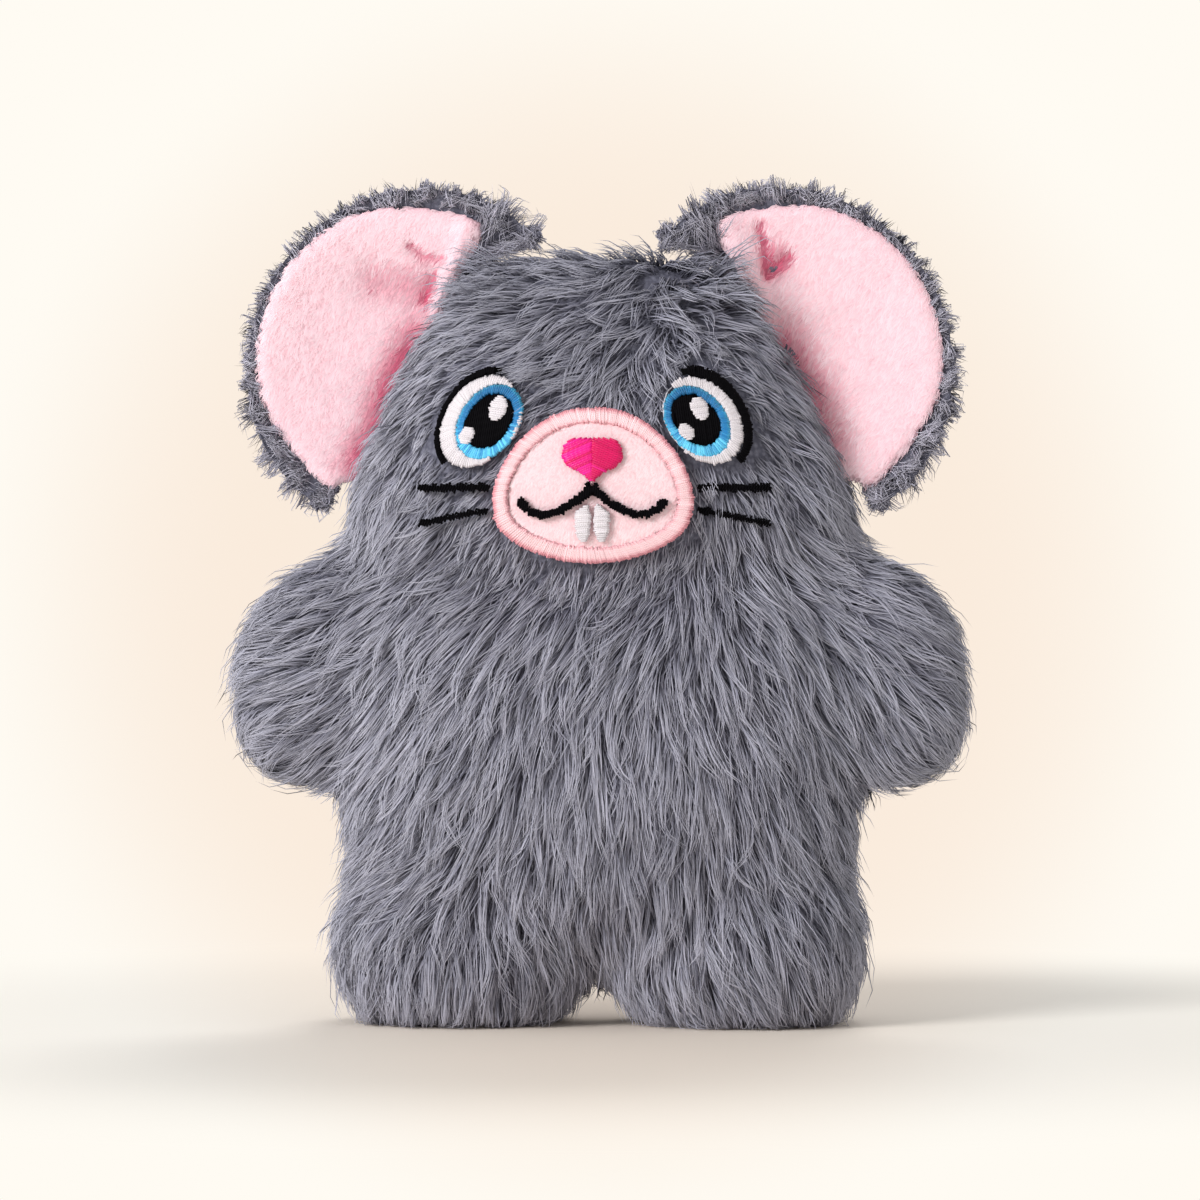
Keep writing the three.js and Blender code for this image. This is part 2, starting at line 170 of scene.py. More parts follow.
world = bpy.data.worlds.new("studio")
bpy.context.scene.world = world
world.use_nodes = True
world_tree = world.node_tree
world_tree.nodes.clear()
seen = node(world_tree, "ShaderNodeLightPath").outputs
direct = maths(world_tree, "MAXIMUM", seen["Is Camera Ray"], seen["Is Glossy Ray"])
shown = maths(world_tree, "MAXIMUM", direct, seen["Is Transmission Ray"])
outwards = node(world_tree, "ShaderNodeTexCoord").outputs["Generated"]
backdrop = node(world_tree, "ShaderNodeBackground", {"Color": glow(world_tree, outwards), "Strength": 1.0})
light = node(world_tree, "ShaderNodeBackground", {"Color": (1, 1, 1, 1), "Strength": ambient})
studio = node(world_tree, "ShaderNodeMixShader", {0: shown, 1: light.outputs[0], 2: backdrop.outputs[0]})
node(world_tree, "ShaderNodeOutputWorld", {"Surface": studio.outputs[0]})

floor_disc = bmesh.new()
bmesh.ops.create_circle(floor_disc, cap_ends=True, segments=floor_corners, radius=floor_size / 2)
floor_mesh = bpy.data.meshes.new("floor")
floor_disc.to_mesh(floor_mesh)
floor_disc.free()
floor = in_scene("floor", floor_mesh)

floor_paint, floor_tree, paint = new_material("floor_paint")
spot = node(floor_tree, "ShaderNodeTexCoord").outputs["Object"]
from_camera = vector_maths(floor_tree, "SUBTRACT", {0: spot, 1: camera.location})[0]
floor_colour = glow(floor_tree, from_camera)
far = eased(floor_tree, vector_maths(floor_tree, "LENGTH", {0: spot})["Value"], *contact_reach)
finished(paint, floor_colour, roughness=0.9, specular=0.0)
plain = node(floor_tree, "ShaderNodeEmission", {"Color": floor_colour, "Strength": 1.0})
faded = node(floor_tree, "ShaderNodeMixShader", {0: far, 1: paint.outputs[0], 2: plain.outputs[0]})
floor_tree.links.new(faded.outputs[0], floor_tree.nodes["Material Output"].inputs["Surface"])
floor_mesh.materials.append(floor_paint)

for name, (place, size, power) in lamps.items():
    lamp_data = bpy.data.lights.new(name, "AREA")
    lamp_data.shape = "DISK"
    lamp_data.size = size
    lamp_data.energy = power
    lamp = in_scene(name, lamp_data)
    lamp.location = place
    lamp.rotation_euler = (Vector(place) - toy_middle).to_track_quat("Z", "Y").to_euler()


# Embroidered fields of the face
# The muzzle and the eyes are sewn down on the head's front, so the pile round them is clipped short.
# Their outlines come from the frame.
merge_gap = 0.001 * mm
forward_facing = -0.3
outline_points = 72
round_points = 120
face_front = -8 * mm
far_off = 1.0


def joined(*names):
    """The frame's own solids as one mesh with their corners merged."""
    bm = bmesh.new()
    for name in names:
        bm.from_mesh(frame["nodes"][name].data)
    bmesh.ops.remove_doubles(bm, verts=bm.verts, dist=merge_gap)
    return bm


def outlines_of(name):
    """The outlines of an embroidered piece seen from the front, as evenly spaced x and z, largest first."""
    bm = joined(name)
    bm.normal_update()
    others = [face for face in bm.faces if face.normal.y > forward_facing]
    bmesh.ops.delete(bm, geom=others, context="FACES")
    edges = dict.fromkeys(edge for edge in bm.edges if edge.is_boundary)
    loops = []
    while edges:
        first, at = edges.popitem()[0].verts
        loop = [first.co.xz, at.co.xz]
        while at is not first:
            edge = next((edge for edge in at.link_edges if edge in edges), None)
            if edge is None:
                break
            edges.pop(edge)
            at = edge.other_vert(at)
            loop.append(at.co.xz)
        loops.append(np.array(loop))
    bm.free()
    even = []
    for loop in sorted(loops, key=lambda places: -np.ptp(places[:, 0]) - np.ptp(places[:, 1])):
        along = np.r_[0, np.cumsum(np.linalg.norm(np.diff(loop, axis=0), axis=1))]
        at = np.linspace(0, along[-1], outline_points, endpoint=False)
        even.append(np.stack([np.interp(at, along, loop[:, i]) for i in (0, 1)], 1))
    return even


def outline_of(name):
    return outlines_of(name)[0]


def outside(places, outline):
    """How far each x and z lies outside a closed outline, less than 0 within it."""
    start, step = outline, np.roll(outline, -1, 0) - outline
    reach = places[:, None] - start[None]
    share = np.clip((reach * step).sum(2) / (step * step).sum(1), 0, 1)
    away = np.linalg.norm(reach - share[..., None] * step, axis=2).min(1)
    rises = (start[:, 1] > places[:, 1, None]) != (start[:, 1] + step[:, 1] > places[:, 1, None])
    level = np.where(step[:, 1] == 0, 1e-12, step[:, 1])
    crossing = start[:, 0] + step[:, 0] * (places[:, 1, None] - start[:, 1]) / level
    within = (rises & (places[:, 0, None] < crossing)).sum(1) % 2 == 1
    return np.where(within, -away, away)


# The sewing drew both eyes out of true: how far in mm each part lies towards the nose and upwards of the
# frame's, how it leans, and how it is stretched
eye_parts = ("white", "iris", "pupil", "glint", "small_glint", "lash")
eye_drawn = {
    "left": [(0.75, -0.4), (1.0, -0.6), (0.85, -0.4), (1.0, -0.5), (0.6, -0.4), (0.75, -0.4)],
    "right": [(0.0, -0.5), (0.9, -0.6), (0.5, -0.5), (0.4, -0.5), (-0.5, -0.7), (0.0, -0.5)],
}
eye_lean = 0.2
eye_stretch = {"left": (0.94, 0.99), "right": (0.96, 1.05)}
lash_stretch = {"left": (0.9, 0.97), "right": (0.86, 1.0)}


def rounded(loop):
    """An outline without its notches."""
    turns = np.linspace(0, 2 * math.pi, round_points, endpoint=False)
    picks = (loop @ np.stack([np.cos(turns), np.sin(turns)])).argmax(0)
    return loop[picks[np.diff(picks, append=picks[:1]) != 0]]


def eye_sewing(side, part):
    """How one part of an eye is drawn out of true."""
    hand = 1 if side == "left" else -1
    middle = rounded(outline_of(f"eye_{side}_white")).mean(0)
    inwards, upwards = eye_drawn[side][eye_parts.index(part)]
    wide, high = lash_stretch[side] if part == "lash" else eye_stretch[side]
    shift = middle + np.array([-hand * inwards, upwards]) * mm
    turn = np.array([[wide, 0], [-hand * eye_lean, high]])
    return lambda places: (places - middle) @ turn + shift


def eye_outline(side, part):
    loop = outline_of(f"eye_{side}_{part}")
    return eye_sewing(side, part)(rounded(loop) if part in ("white", "iris", "pupil") else loop)


muzzle_outlines = [outline_of("muzzle_border")]
eye_outlines = [eye_outline(side, part) for side in ("left", "right") for part in ("white", "lash")]


def off_fields(places, outlines):
    """How far each place on the front lies from the nearest embroidered field. The back is far away."""
    away = np.min([outside(places[:, [0, 2]], outline) for outline in outlines], axis=0)
    return np.where(places[:, 1] < face_front, away, far_off)


def off_face(places):
    return off_fields(places, muzzle_outlines + eye_outlines)


# Sewn body
# Head, torso, arms and legs are one stuffed pillow of plush, sewn from a front and a back. Its backing
# cloth lies as deep under the frame's outside as the combed pile is high, and less under the face.
pile_depth = 2.7 * mm
face_depth = 1.3 * mm
sole_depth = 0.9 * mm
face_fade = 8 * mm
# How far a place faces down, and how high it lies, from the sole to where the sole ends
sole_facing = (0.6, 0.95)
sole_heights = (4 * mm, 9 * mm)
form_voxel = 1.5 * mm
form_smoothing = 3
draw_steps = 3
gap_closing = 1.6 * mm
limbs = ("torso", "head", "arm_left", "arm_right", "leg_left", "leg_right")


def remeshed(bm, voxel):
    """The same body as one closed skin of even small faces."""
    mesh = bpy.data.meshes.new("work")
    bm.to_mesh(mesh)
    bm.free()
    work = in_scene("work", mesh)
    even = work.modifiers.new("even", "REMESH")
    even.mode = "VOXEL"
    even.voxel_size = voxel
    out = bmesh.new()
    out.from_object(work, bpy.context.evaluated_depsgraph_get())
    bpy.data.objects.remove(work)
    bpy.data.meshes.remove(mesh)
    return out


def smoothed(bm, times):
    for _ in range(times):
        bmesh.ops.smooth_vert(
            bm, verts=bm.verts, factor=0.5, use_axis_x=True, use_axis_y=True, use_axis_z=True
        )


def smoothstep(value, low, high):
    t = np.clip((value - low) / (high - low), 0, 1)
    return t * t * (3 - 2 * t)


def drawn_in(bm, depth_at):
    """Moves a skin inwards by a depth that changes over it."""
    for _ in range(draw_steps):
        bm.normal_update()
        places = np.array([v.co for v in bm.verts])
        normals = np.array([v.normal for v in bm.verts])
        for vert, step in zip(bm.verts, depth_at(places, normals) / draw_steps):
            vert.co -= vert.normal * step
        smoothed(bm, 1)
    bm.normal_update()


def evenly(depth):
    """The same depth all over a skin."""
    return lambda places, normals: np.full(len(places), depth)


def backing_depth(places, normals):
    """How far the backing cloth lies under the frame's outside."""
    bare = 1 - smoothstep(off_face(places), 0, face_fade)
    depth = pile_depth + (face_depth - pile_depth) * bare
    down = smoothstep(-normals[:, 2], *sole_facing) * (1 - smoothstep(places[:, 2], *sole_heights))
    return depth + (sole_depth - depth) * down


body_form = remeshed(
    joined(*(f"{limb}_{part}" for limb in limbs for part in ("front_panel", "back_panel", "filling"))),
    form_voxel,
)
# The limbs' clearances are closed by swelling the skin and drawing it in again
drawn_in(body_form, evenly(-gap_closing))
body_form = remeshed(body_form, form_voxel)
smoothed(body_form, form_smoothing)
drawn_in(body_form, lambda places, normals: gap_closing + backing_depth(places, normals))

# The panels' seams: the side seam, the neck, the hips, the crotch and round each arm
neck_height = 71.5 * mm
hip_height = 14 * mm
armpit_height = 34 * mm
arm_root = 37 * mm
neck_slope = 1.06
seams = [
    ((0, 0, 0), (0, 1, 0)),
    ((0, 0, neck_height), (0, 0, 1)),
    ((0, 0, hip_height), (0, 0, 1)),
    ((0, 0, armpit_height), (0, 0, 1)),
    ((arm_root, 0, 0), (1, 0, 0)),
    ((-arm_root, 0, 0), (1, 0, 0)),
    ((0, 0, 0), (1, 0, 0)),
    ((arm_root, 0, neck_height), (-neck_slope, 0, 1)),
    ((-arm_root, 0, neck_height), (neck_slope, 0, 1)),
]


def limb_at(place):
    """The limb that a place on the sewn body belongs to."""
    side = "left" if place.x > 0 else "right"
    out = abs(place.x) - arm_root
    if place.z > neck_height + max(0, out) * neck_slope:
        return "head"
    if place.z < hip_height:
        return f"leg_{side}"
    return f"arm_{side}" if out > 0 and place.z > armpit_height else "torso"


for point, normal in seams:
    bmesh.ops.bisect_plane(
        body_form,
        geom=body_form.verts[:] + body_form.edges[:] + body_form.faces[:],
        plane_co=point,
        plane_no=normal,
    )
body_form.normal_update()
body_tree = BVHTree.FromBMesh(body_form)
labels = {}
for face in body_form.faces:
    middle = face.calc_center_median()
    labels.setdefault((limb_at(middle), "front" if middle.y < 0 else "back"), []).append(face.index)


# Pile
# The plush is knitted with a pile of soft fibres about 10 mm long. They lie in combed locks, dark at
# the root, partly as painted shade down among the fibres, and paler at the tip, and each strand here stands
# for a few of them.
tone_steps = 64
guide_steps = 4
# How locks differ in length, and the least and most of that
lock_spread = 0.14
lock_limits = (0.55, 1.35)
# A strand's usual share of its lock's length and how strands differ in it, the least and most, and how
# far along itself the skin is followed
strand_share = (0.95, 0.12)
strand_limits = (0.6, 1.15)
longest_share = 1.2
least_free = 0.15
# How strands differ in rise and width, and how they taper, rise and gather towards the tip
strand_rises = (0.8, 1.2)
strand_widths = (0.8, 1.2)
taper_power = 0.45
rise_power = 2.2
gather_power = 0.85
# Short strands lie lower under the others and are darker there, as painted shade, and strays stand apart
# above them
under_share = 0.55
under_rise = 0.6
under_painted_shade = 0.18
stray_rise = 1.5
stray_clump = 0.15
lock_overlap = 1.3
# How many radians a lock curls and its strands fray by their tips
curl_turn = 4.5
fray_turns = 3
# How much of the tone differs by lock, over wider patches, and by strand
tone_spreads = (0.13, 0.12, 0.12)
tone_patch = 1.6
tone_seed = 40


def strand_shape(sides, shares, pointed):
    """One closed strand along Z with rings at shares of its length: each corner's turn about the middle,
    its height and the ring that it is on, the rings' heights, and the faces."""
    bm = bmesh.new()
    bmesh.ops.create_cone(
        bm, cap_ends=True, segments=sides, radius1=1, radius2=0 if pointed else 1, depth=1
    )
    bmesh.ops.translate(bm, verts=bm.verts, vec=(0, 0, 0.5))
    for share in shares:
        geom = bm.verts[:] + bm.edges[:] + bm.faces[:]
        bmesh.ops.bisect_plane(bm, geom=geom, plane_co=(0, 0, share), plane_no=(0, 0, 1))
    bmesh.ops.triangulate(bm, faces=bm.faces)
    bm.verts.ensure_lookup_table()
    corners = np.array([v.co for v in bm.verts])
    faces = np.array([[v.index for v in face.verts] for face in bm.faces])
    bm.free()
    heights = corners[:, 2]
    turns = corners[:, :2] / np.maximum(1 - heights[:, None], 1e-6) if pointed else corners[:, :2]
    turns = np.where(pointed & (heights[:, None] > 0.999), 0, turns)
    rings = np.unique(heights.round(4))
    ring = np.abs(heights[:, None] - rings).argmin(1)
    return {"turns": turns, "heights": heights, "ring": ring, "rings": rings, "faces": faces}


long_strand = strand_shape(3, (0.36, 0.7), pointed=True)
short_strand = strand_shape(3, (0.55,), pointed=True)


def unit(vectors):
    return vectors / np.maximum(np.linalg.norm(vectors, axis=-1, keepdims=True), 1e-12)


def nearest(tree, places):
    """The nearest place on a skin, and the skin's direction there."""
    found = [tree.find_nearest(place) for place in places.tolist()]
    return np.array([f[0] for f in found]), np.array([f[1] for f in found])


def scattered(triangles, per_area, random):
    """Roots spread evenly over triangles."""
    one, two = triangles[:, 1] - triangles[:, 0], triangles[:, 2] - triangles[:, 0]
    areas = np.linalg.norm(np.cross(one, two), axis=1) / 2
    ends = np.cumsum(areas)
    count = int(ends[-1] * per_area)
    picks = (np.arange(count) + random.random(count)) / count * ends[-1]
    chosen = np.minimum(np.searchsorted(ends, picks), len(areas) - 1)
    share = random.random((count, 2))
    share[share.sum(1) > 1] = 1 - share[share.sum(1) > 1]
    return triangles[chosen, 0] + share[:, :1] * one[chosen] + share[:, 1:] * two[chosen]


def waves(places, scale, seed):
    """Smooth noise from -1 to 1 over a skin."""
    shift = Vector((seed * 7.3, seed * 3.1, seed * 1.7))
    return np.array([noise.noise(Vector(place) / scale + shift) for place in places.tolist()])


def grow_pile(name, triangles, tree, flow, style, seed):
    """Combed locks of pile on a skin, as one mesh. flow gives the way the pile lies at some places, and
    style holds its sizes, which are numbers or functions of the places."""
    random = np.random.default_rng(seed)
    shape = style["shape"]

    def at(key, places):
        value = style[key]
        return value(places) if callable(value) else np.full(len(places), float(value))

    roots = scattered(triangles, 1 / style["lock_area"], random)
    roots = roots[at("keep", roots) > random.random(len(roots))]
    places, normals = nearest(tree, roots)
    length = at("length", roots) * np.clip(random.normal(1, lock_spread, len(roots)), *lock_limits)
    swing = waves(roots, style["wave"], seed) * style["sway"]
    swing = swing + random.normal(0, 1, len(roots)) * at("mess", roots)
    bend = random.normal(0, 1, len(roots)) * style["bend"]
    guide, guide_normals = [places], [normals]
    for step in range(guide_steps):
        way = flow(guide[-1])
        way = unit(way - (way * guide_normals[-1]).sum(1, keepdims=True) * guide_normals[-1])
        turn = (swing + bend * step)[:, None]
        way = way * np.cos(turn) + np.cross(guide_normals[-1], way) * np.sin(turn)
        place, normal = nearest(tree, guide[-1] + way * length[:, None] / guide_steps)
        guide.append(place)
        guide_normals.append(unit(normal + guide_normals[-1]))
    guide, guide_normals = np.stack(guide, 1), np.stack(guide_normals, 1)

    each = style["strands"]
    lock = np.repeat(np.arange(len(roots)), each)
    count = len(lock)
    bare = at("bare", guide.reshape(-1, 3)).reshape(guide.shape[:2]) > 0
    free = np.where(bare.any(1), bare.argmax(1), guide_steps) / guide_steps
    share = np.clip(random.normal(*strand_share, count), *strand_limits) * np.maximum(free, least_free)[lock]
    under = random.random(count) < style["under"]
    share = np.where(under, share * under_share, share)
    stray = random.random(count) < style["stray"]
    clump = np.where(stray, stray_clump, random.uniform(*style["clump"], count))
    lift = at("rise", roots)[lock] * random.uniform(*style["tufts"], len(roots))[lock]
    lift = lift * random.uniform(*strand_rises, count) * np.where(stray, stray_rise, 1)
    lift = lift * np.where(under, under_rise, 1)
    spread = np.sqrt(random.random(count)) * math.sqrt(style["lock_area"] / math.pi) * lock_overlap
    turn = random.uniform(0, 2 * math.pi, count)
    way = unit(guide[lock, 1] - guide[lock, 0])
    cross = np.cross(normals[lock], way)
    offset = way * (spread * np.cos(turn))[:, None] + cross * (spread * np.sin(turn))[:, None]
    curl = random.uniform(0, 2 * math.pi, len(roots))[lock]
    paths = []
    for height in shape["rings"]:
        t = np.minimum(height * share, longest_share)
        low = np.minimum((t * guide_steps).astype(int), guide_steps - 1)
        part = (t * guide_steps - low)[:, None]
        place = guide[lock, low] * (1 - part) + guide[lock, low + 1] * part
        normal = unit(guide_normals[lock, low] * (1 - part) + guide_normals[lock, low + 1] * part)
        rise = lift * (1 - (1 - height) ** rise_power) - style["sink"] * (1 - height)
        place = place + normal * rise[:, None]
        place = place + offset * (1 - clump * height**gather_power)[:, None]
        wag = style["curl"] * height * np.sin(curl + height * curl_turn)
        wag = wag + style["fray"] * height * np.sin(turn * fray_turns)
        paths.append(place + cross * wag[:, None])
    paths = np.stack(paths, 1)
    paths[..., 2] = np.maximum(paths[..., 2], style["floor"])
    along = unit(np.gradient(paths, axis=1))
    side = unit(np.cross(along, guide_normals[lock, 0][:, None]))
    up = np.cross(along, side)
    roll = random.uniform(0, 2 * math.pi, count)[:, None, None]
    side, up = side * np.cos(roll) + up * np.sin(roll), up * np.cos(roll) - side * np.sin(roll)
    width = style["width"] / 2 * random.uniform(*strand_widths, count)[:, None]
    width = width * (1 - shape["rings"]) ** taper_power
    ring = shape["ring"]
    round_way = side[:, ring] * shape["turns"][:, 0, None] + up[:, ring] * shape["turns"][:, 1, None]
    verts = paths[:, ring] + width[:, ring, None] * round_way
    skin_way = guide_normals[lock][:, np.minimum(ring, guide_steps)]
    skin_way = skin_way - (skin_way * along[:, ring]).sum(2, keepdims=True) * along[:, ring]
    skin_way[..., 1] += at("facing", roots)[lock, None]
    roundness = at("roundness", roots)[lock, None, None]
    shading = unit(round_way * roundness + skin_way * (1 - roundness))
    by_lock, by_patch, by_strand = tone_spreads
    varied = by_lock * random.normal(0, 1, len(roots))
    varied = varied + by_patch * waves(roots, style["wave"] * tone_patch, seed + tone_seed)
    varied = varied[lock] + by_strand * random.normal(0, 1, count) - np.where(under, under_painted_shade, 0)
    tone = at("tone", roots)[lock] + style["variety"] * varied
    return strands_object(name, shape, verts, tone, shading)


def strands_object(name, shape, verts, tone, shading):
    """The strands' mesh. Its bake map and its strand attribute both hold the tone across, in steps, and the
    way from root to tip. shading holds the way that each corner catches the light."""
    tone = np.clip((tone * tone_steps).astype(int), 0, tone_steps - 1)
    count, corners = verts.shape[:2]
    faces = (shape["faces"][None] + np.arange(count)[:, None, None] * corners).reshape(-1)
    mesh = bpy.data.meshes.new(name)
    mesh.vertices.add(count * corners)
    mesh.vertices.foreach_set("co", verts.astype(np.float32).ravel())
    mesh.loops.add(len(faces))
    mesh.loops.foreach_set("vertex_index", faces.astype(np.int32))
    total = len(faces) // 3
    mesh.polygons.add(total)
    mesh.polygons.foreach_set("loop_start", np.arange(0, len(faces), 3, dtype=np.int32))
    mesh.polygons.foreach_set("use_smooth", np.ones(total, bool))
    mesh.update(calc_edges=True)
    facts = np.zeros((count, corners, 3), np.float32)
    facts[..., 0] = ((tone + 0.5) / tone_steps)[:, None]
    facts[..., 1] = shape["heights"]
    mesh.attributes.new("strand", "FLOAT_VECTOR", "POINT").data.foreach_set("vector", facts.ravel())
    across = 0.5 + 0.4 * np.sign(shape["turns"][:, 0].round(1))
    u = (tone[:, None] + across) / tone_steps
    v = np.broadcast_to(0.01 + 0.98 * shape["heights"], u.shape)
    flat = np.stack([u, v], 2).reshape(-1, 2)[faces]
    mesh.uv_layers.new(name="OFBake").data.foreach_set("uv", flat.astype(np.float32).ravel())
    mesh.normals_split_custom_set_from_vertices(shading.reshape(-1, 3).astype(np.float32))
    return in_scene(name, mesh)


def group_of(name, inputs, outputs):
    """An empty shader node group with named inputs and outputs, and its two end nodes."""
    made = bpy.data.node_groups.new(name, "ShaderNodeTree")
    for label, (kind, value) in inputs.items():
        socket = made.interface.new_socket(label, in_out="INPUT", socket_type=kind)
        socket.default_value = value
    for label, kind in outputs.items():
        made.interface.new_socket(label, in_out="OUTPUT", socket_type=kind)
    return made, made.nodes.new("NodeGroupInput"), made.nodes.new("NodeGroupOutput")


pile_group, pile_in, pile_out = group_of(
    "pile_colour",
    {
        "Root": ("NodeSocketColor", (0.05, 0.05, 0.06, 1)),
        "Middle": ("NodeSocketColor", (0.2, 0.2, 0.24, 1)),
        "Tip": ("NodeSocketColor", (0.35, 0.35, 0.4, 1)),
        "Deep": ("NodeSocketColor", (0.1, 0.1, 0.12, 1)),
        "Spread": ("NodeSocketFloat", 0.5),
    },
    {"Color": "NodeSocketColor"},
)
# Where along a strand its colours change, and the tones over which the deep colour fades out. The deep colour
# is painted shade in creases and under other strands, and it also takes the darkest random locks.
lower_part = (0.05, 0.5)
upper_part = (0.45, 1.0)
deep_tones = (0.42, 0.1)
middle_tone = 0.5


def strand_facts(tree):
    """A strand's tone, and the way along it."""
    facts = node(tree, "ShaderNodeAttribute", attribute_name="strand").outputs["Vector"]
    parts = node(tree, "ShaderNodeSeparateXYZ", {0: facts}).outputs
    return parts["X"], parts["Y"]


def shaded(tree, tone, spread):
    """How bright a strand is by its tone."""
    return maths(tree, "MULTIPLY_ADD", maths(tree, "ADD", tone, -middle_tone), spread, 1.0)


strand_tone, strand_along = strand_facts(pile_group)
lower = eased(pile_group, strand_along, *lower_part)
upper = eased(pile_group, strand_along, *upper_part, ease="LINEAR")
strand_colour = mixed(pile_group, lower, pile_in.outputs["Root"], pile_in.outputs["Middle"])
strand_colour = mixed(pile_group, upper, strand_colour, pile_in.outputs["Tip"])
deepened = eased(pile_group, strand_tone, *deep_tones, ease="LINEAR")
strand_colour = mixed(pile_group, deepened, strand_colour, pile_in.outputs["Deep"])
strand_light = shaded(pile_group, strand_tone, pile_in.outputs["Spread"])
strand_colour = vector_maths(pile_group, "SCALE", {0: strand_colour, "Scale": strand_light})[0]
pile_group.links.new(strand_colour, pile_out.inputs["Color"])


def pile_material(name, root, middle, tip, deep, spread):
    """Fibres of one colour, from root to tip, and their deepest tone."""
    material, tree, shader = new_material(name)
    inputs = {"Root": root, "Middle": middle, "Tip": tip, "Deep": deep, "Spread": spread}
    group = node(tree, "ShaderNodeGroup", inputs, node_tree=pile_group)
    finished(shader, group.outputs["Color"], roughness=0.55, specular=0.3)
    return material


grey_pile = pile_material(
    "grey_pile", srgb(92, 92, 107), srgb(158, 158, 173), srgb(192, 191, 204), srgb(100, 99, 115), 0.7
)
# The undercoat is darker than the long pile over it, as painted shade.
grey_undercoat = pile_material(
    "grey_undercoat", srgb(84, 84, 98), srgb(134, 133, 148), srgb(160, 159, 173), srgb(88, 88, 102), 0.6
)


# Torso, head, arms and legs: covers
# Each limb's cover is a front and a back panel of the plush, whose pile is knitted into a thin backing
# cloth. Long fibres lie over a denser undercoat that is about half as long.
cloth_thickness = 0.5 * mm
stitch_heights = (-0.3, 0.5)
knit_group, knit_in, knit_out = group_of(
    "knit",
    {
        "Color": ("NodeSocketColor", (0.1, 0.1, 0.12, 1)),
        "Shade": ("NodeSocketColor", (0.05, 0.05, 0.06, 1)),
        "Scale": ("NodeSocketFloat", 1200.0),
    },
    {"Color": "NodeSocketColor", "Height": "NodeSocketFloat"},
)
knit_place = node(knit_group, "ShaderNodeTexCoord").outputs["Object"]
knit_inputs = {"Vector": knit_place, "Scale": knit_in.outputs["Scale"]}
loops = node(knit_group, "ShaderNodeTexVoronoi", knit_inputs).outputs["Distance"]
fuzz = node(knit_group, "ShaderNodeTexNoise", {**knit_inputs, "Detail": 3.0}).outputs["Fac"]
raised = maths(knit_group, "SUBTRACT", fuzz, loops)
knit_tone = eased(knit_group, raised, *stitch_heights, ease="LINEAR")
knit_colour = mixed(knit_group, knit_tone, knit_in.outputs["Shade"], knit_in.outputs["Color"])
knit_group.links.new(knit_colour, knit_out.inputs["Color"])
knit_group.links.new(raised, knit_out.inputs["Height"])


def bumped(shader, height, strength, distance):
    """Gives a shader relief from a node's height."""
    tree = shader.id_data
    bump = node(tree, "ShaderNodeBump", {"Height": height, "Strength": strength, "Distance": distance})
    tree.links.new(bump.outputs["Normal"], shader.inputs["Normal"])


def knit_material(name, colour, shade, scale):
    """Knitted cloth of one colour, with painted shade between its loops."""
    material, tree, shader = new_material(name)
    inputs = {"Color": colour, "Shade": shade, "Scale": scale}
    group = node(tree, "ShaderNodeGroup", inputs, node_tree=knit_group)
    bumped(shader, group.outputs["Height"], strength=0.5, distance=0.2 * mm)
    finished(shader, group.outputs["Color"], roughness=0.95, specular=0.1)
    return material


grey_backing = knit_material("grey_backing", srgb(128, 128, 143), srgb(92, 92, 106), 1400)


def triangles_of(bm):
    copy = bm.copy()
    bmesh.ops.triangulate(copy, faces=copy.faces)
    out = np.array([[v.co[:] for v in face.verts] for face in copy.faces])
    copy.free()
    return out


def object_from(bm, name, material, smooth=True):
    """A finished piece from a bmesh, at the origin."""
    for face in bm.faces:
        face.smooth = smooth
    mesh = bpy.data.meshes.new(name)
    bm.to_mesh(mesh)
    bm.free()
    mesh.materials.append(material)
    return in_scene(name, mesh)


def panel_form(limb, half):
    """The part of the sewn body's skin that one panel covers, open at its seams."""
    panel = body_form.copy()
    panel.faces.ensure_lookup_table()
    own = set(labels[limb, half])
    others = [face for face in panel.faces if face.index not in own]
    bmesh.ops.delete(panel, geom=others, context="FACES")
    return panel


# How the pile is combed on the front: a place in mm, and degrees from straight down, positive to +X
front_comb = [
    (-48, 68, -53), (-13, 68, -30), (-21, 67, -45), (-31, 52, -21), (-11, 45, -6), (-53, 55, -84),
    (-51, 60, -93), (-48, 46, -60), (-41, 41, -53), (-38, 32, -37), (-38, 26, -69), (-31, 20, -49),
    (-38, 16, -32), (-26, 7, 0), (-38, 9, -11), (-11, 12, 6), (-3, 10, 11), (-57, 48, -45),
    (-56, 66, -80), (-42, 61, -55), (-26, 36, -15), (0, 61, -30), (0, 44, 0), (0, 23, 0),
    (7, 67, -37), (18, 74, -6), (27, 70, 30), (34, 72, 60), (47, 67, 66), (54, 55, 60),
    (42, 50, 34), (49, 42, 53), (27, 55, 15), (12, 47, 3), (39, 27, 17), (32, 17, 11),
    (39, 7, 24), (4, 12, 6), (22, 7, 17), (56, 61, 78), (54, 47, 45),
    (-27, 86, -34), (-37, 79, -37), (-32, 100, -49), (-22, 109, -72), (-18, 117, -84), (-9, 106, -50),
    (-7, 99, -48), (2, 105, -36), (3, 112, -48), (-5, 117, -68), (-10, 121, -88), (9, 119, -30),
    (12, 113, 0), (18, 118, 85), (22, 112, 72), (14, 107, 12), (8, 101, 0), (24, 106, 42),
    (28, 95, 45), (33, 88, 49), (37, 79, 53), (21, 77, 27),
    (-21, 74, -37), (-26, 80, -41), (-1, 70, -14), (10, 71, -17), (16, 79, 12), (-19, 92, -37), (-6, 71, -25),
]
back_comb = [
    (0, 120, 0), (-25, 110, -40), (25, 110, 40), (0, 60, 0), (-30, 50, -15), (30, 50, 15),
    (-50, 55, -65), (50, 55, 65), (-30, 15, -12), (30, 15, 12), (0, 20, 0), (0, 90, 3),
]
comb_reach = 4 * mm
comb_power = 1.5
comb_turn = (-6 * mm, 7 * mm)
# Where the front's locks part: a place in mm, how wide, and how many degrees they stray there
partings = [(13, 114, 9, 26), (8, 102, 6, 18)]
plain_mess = 5.0


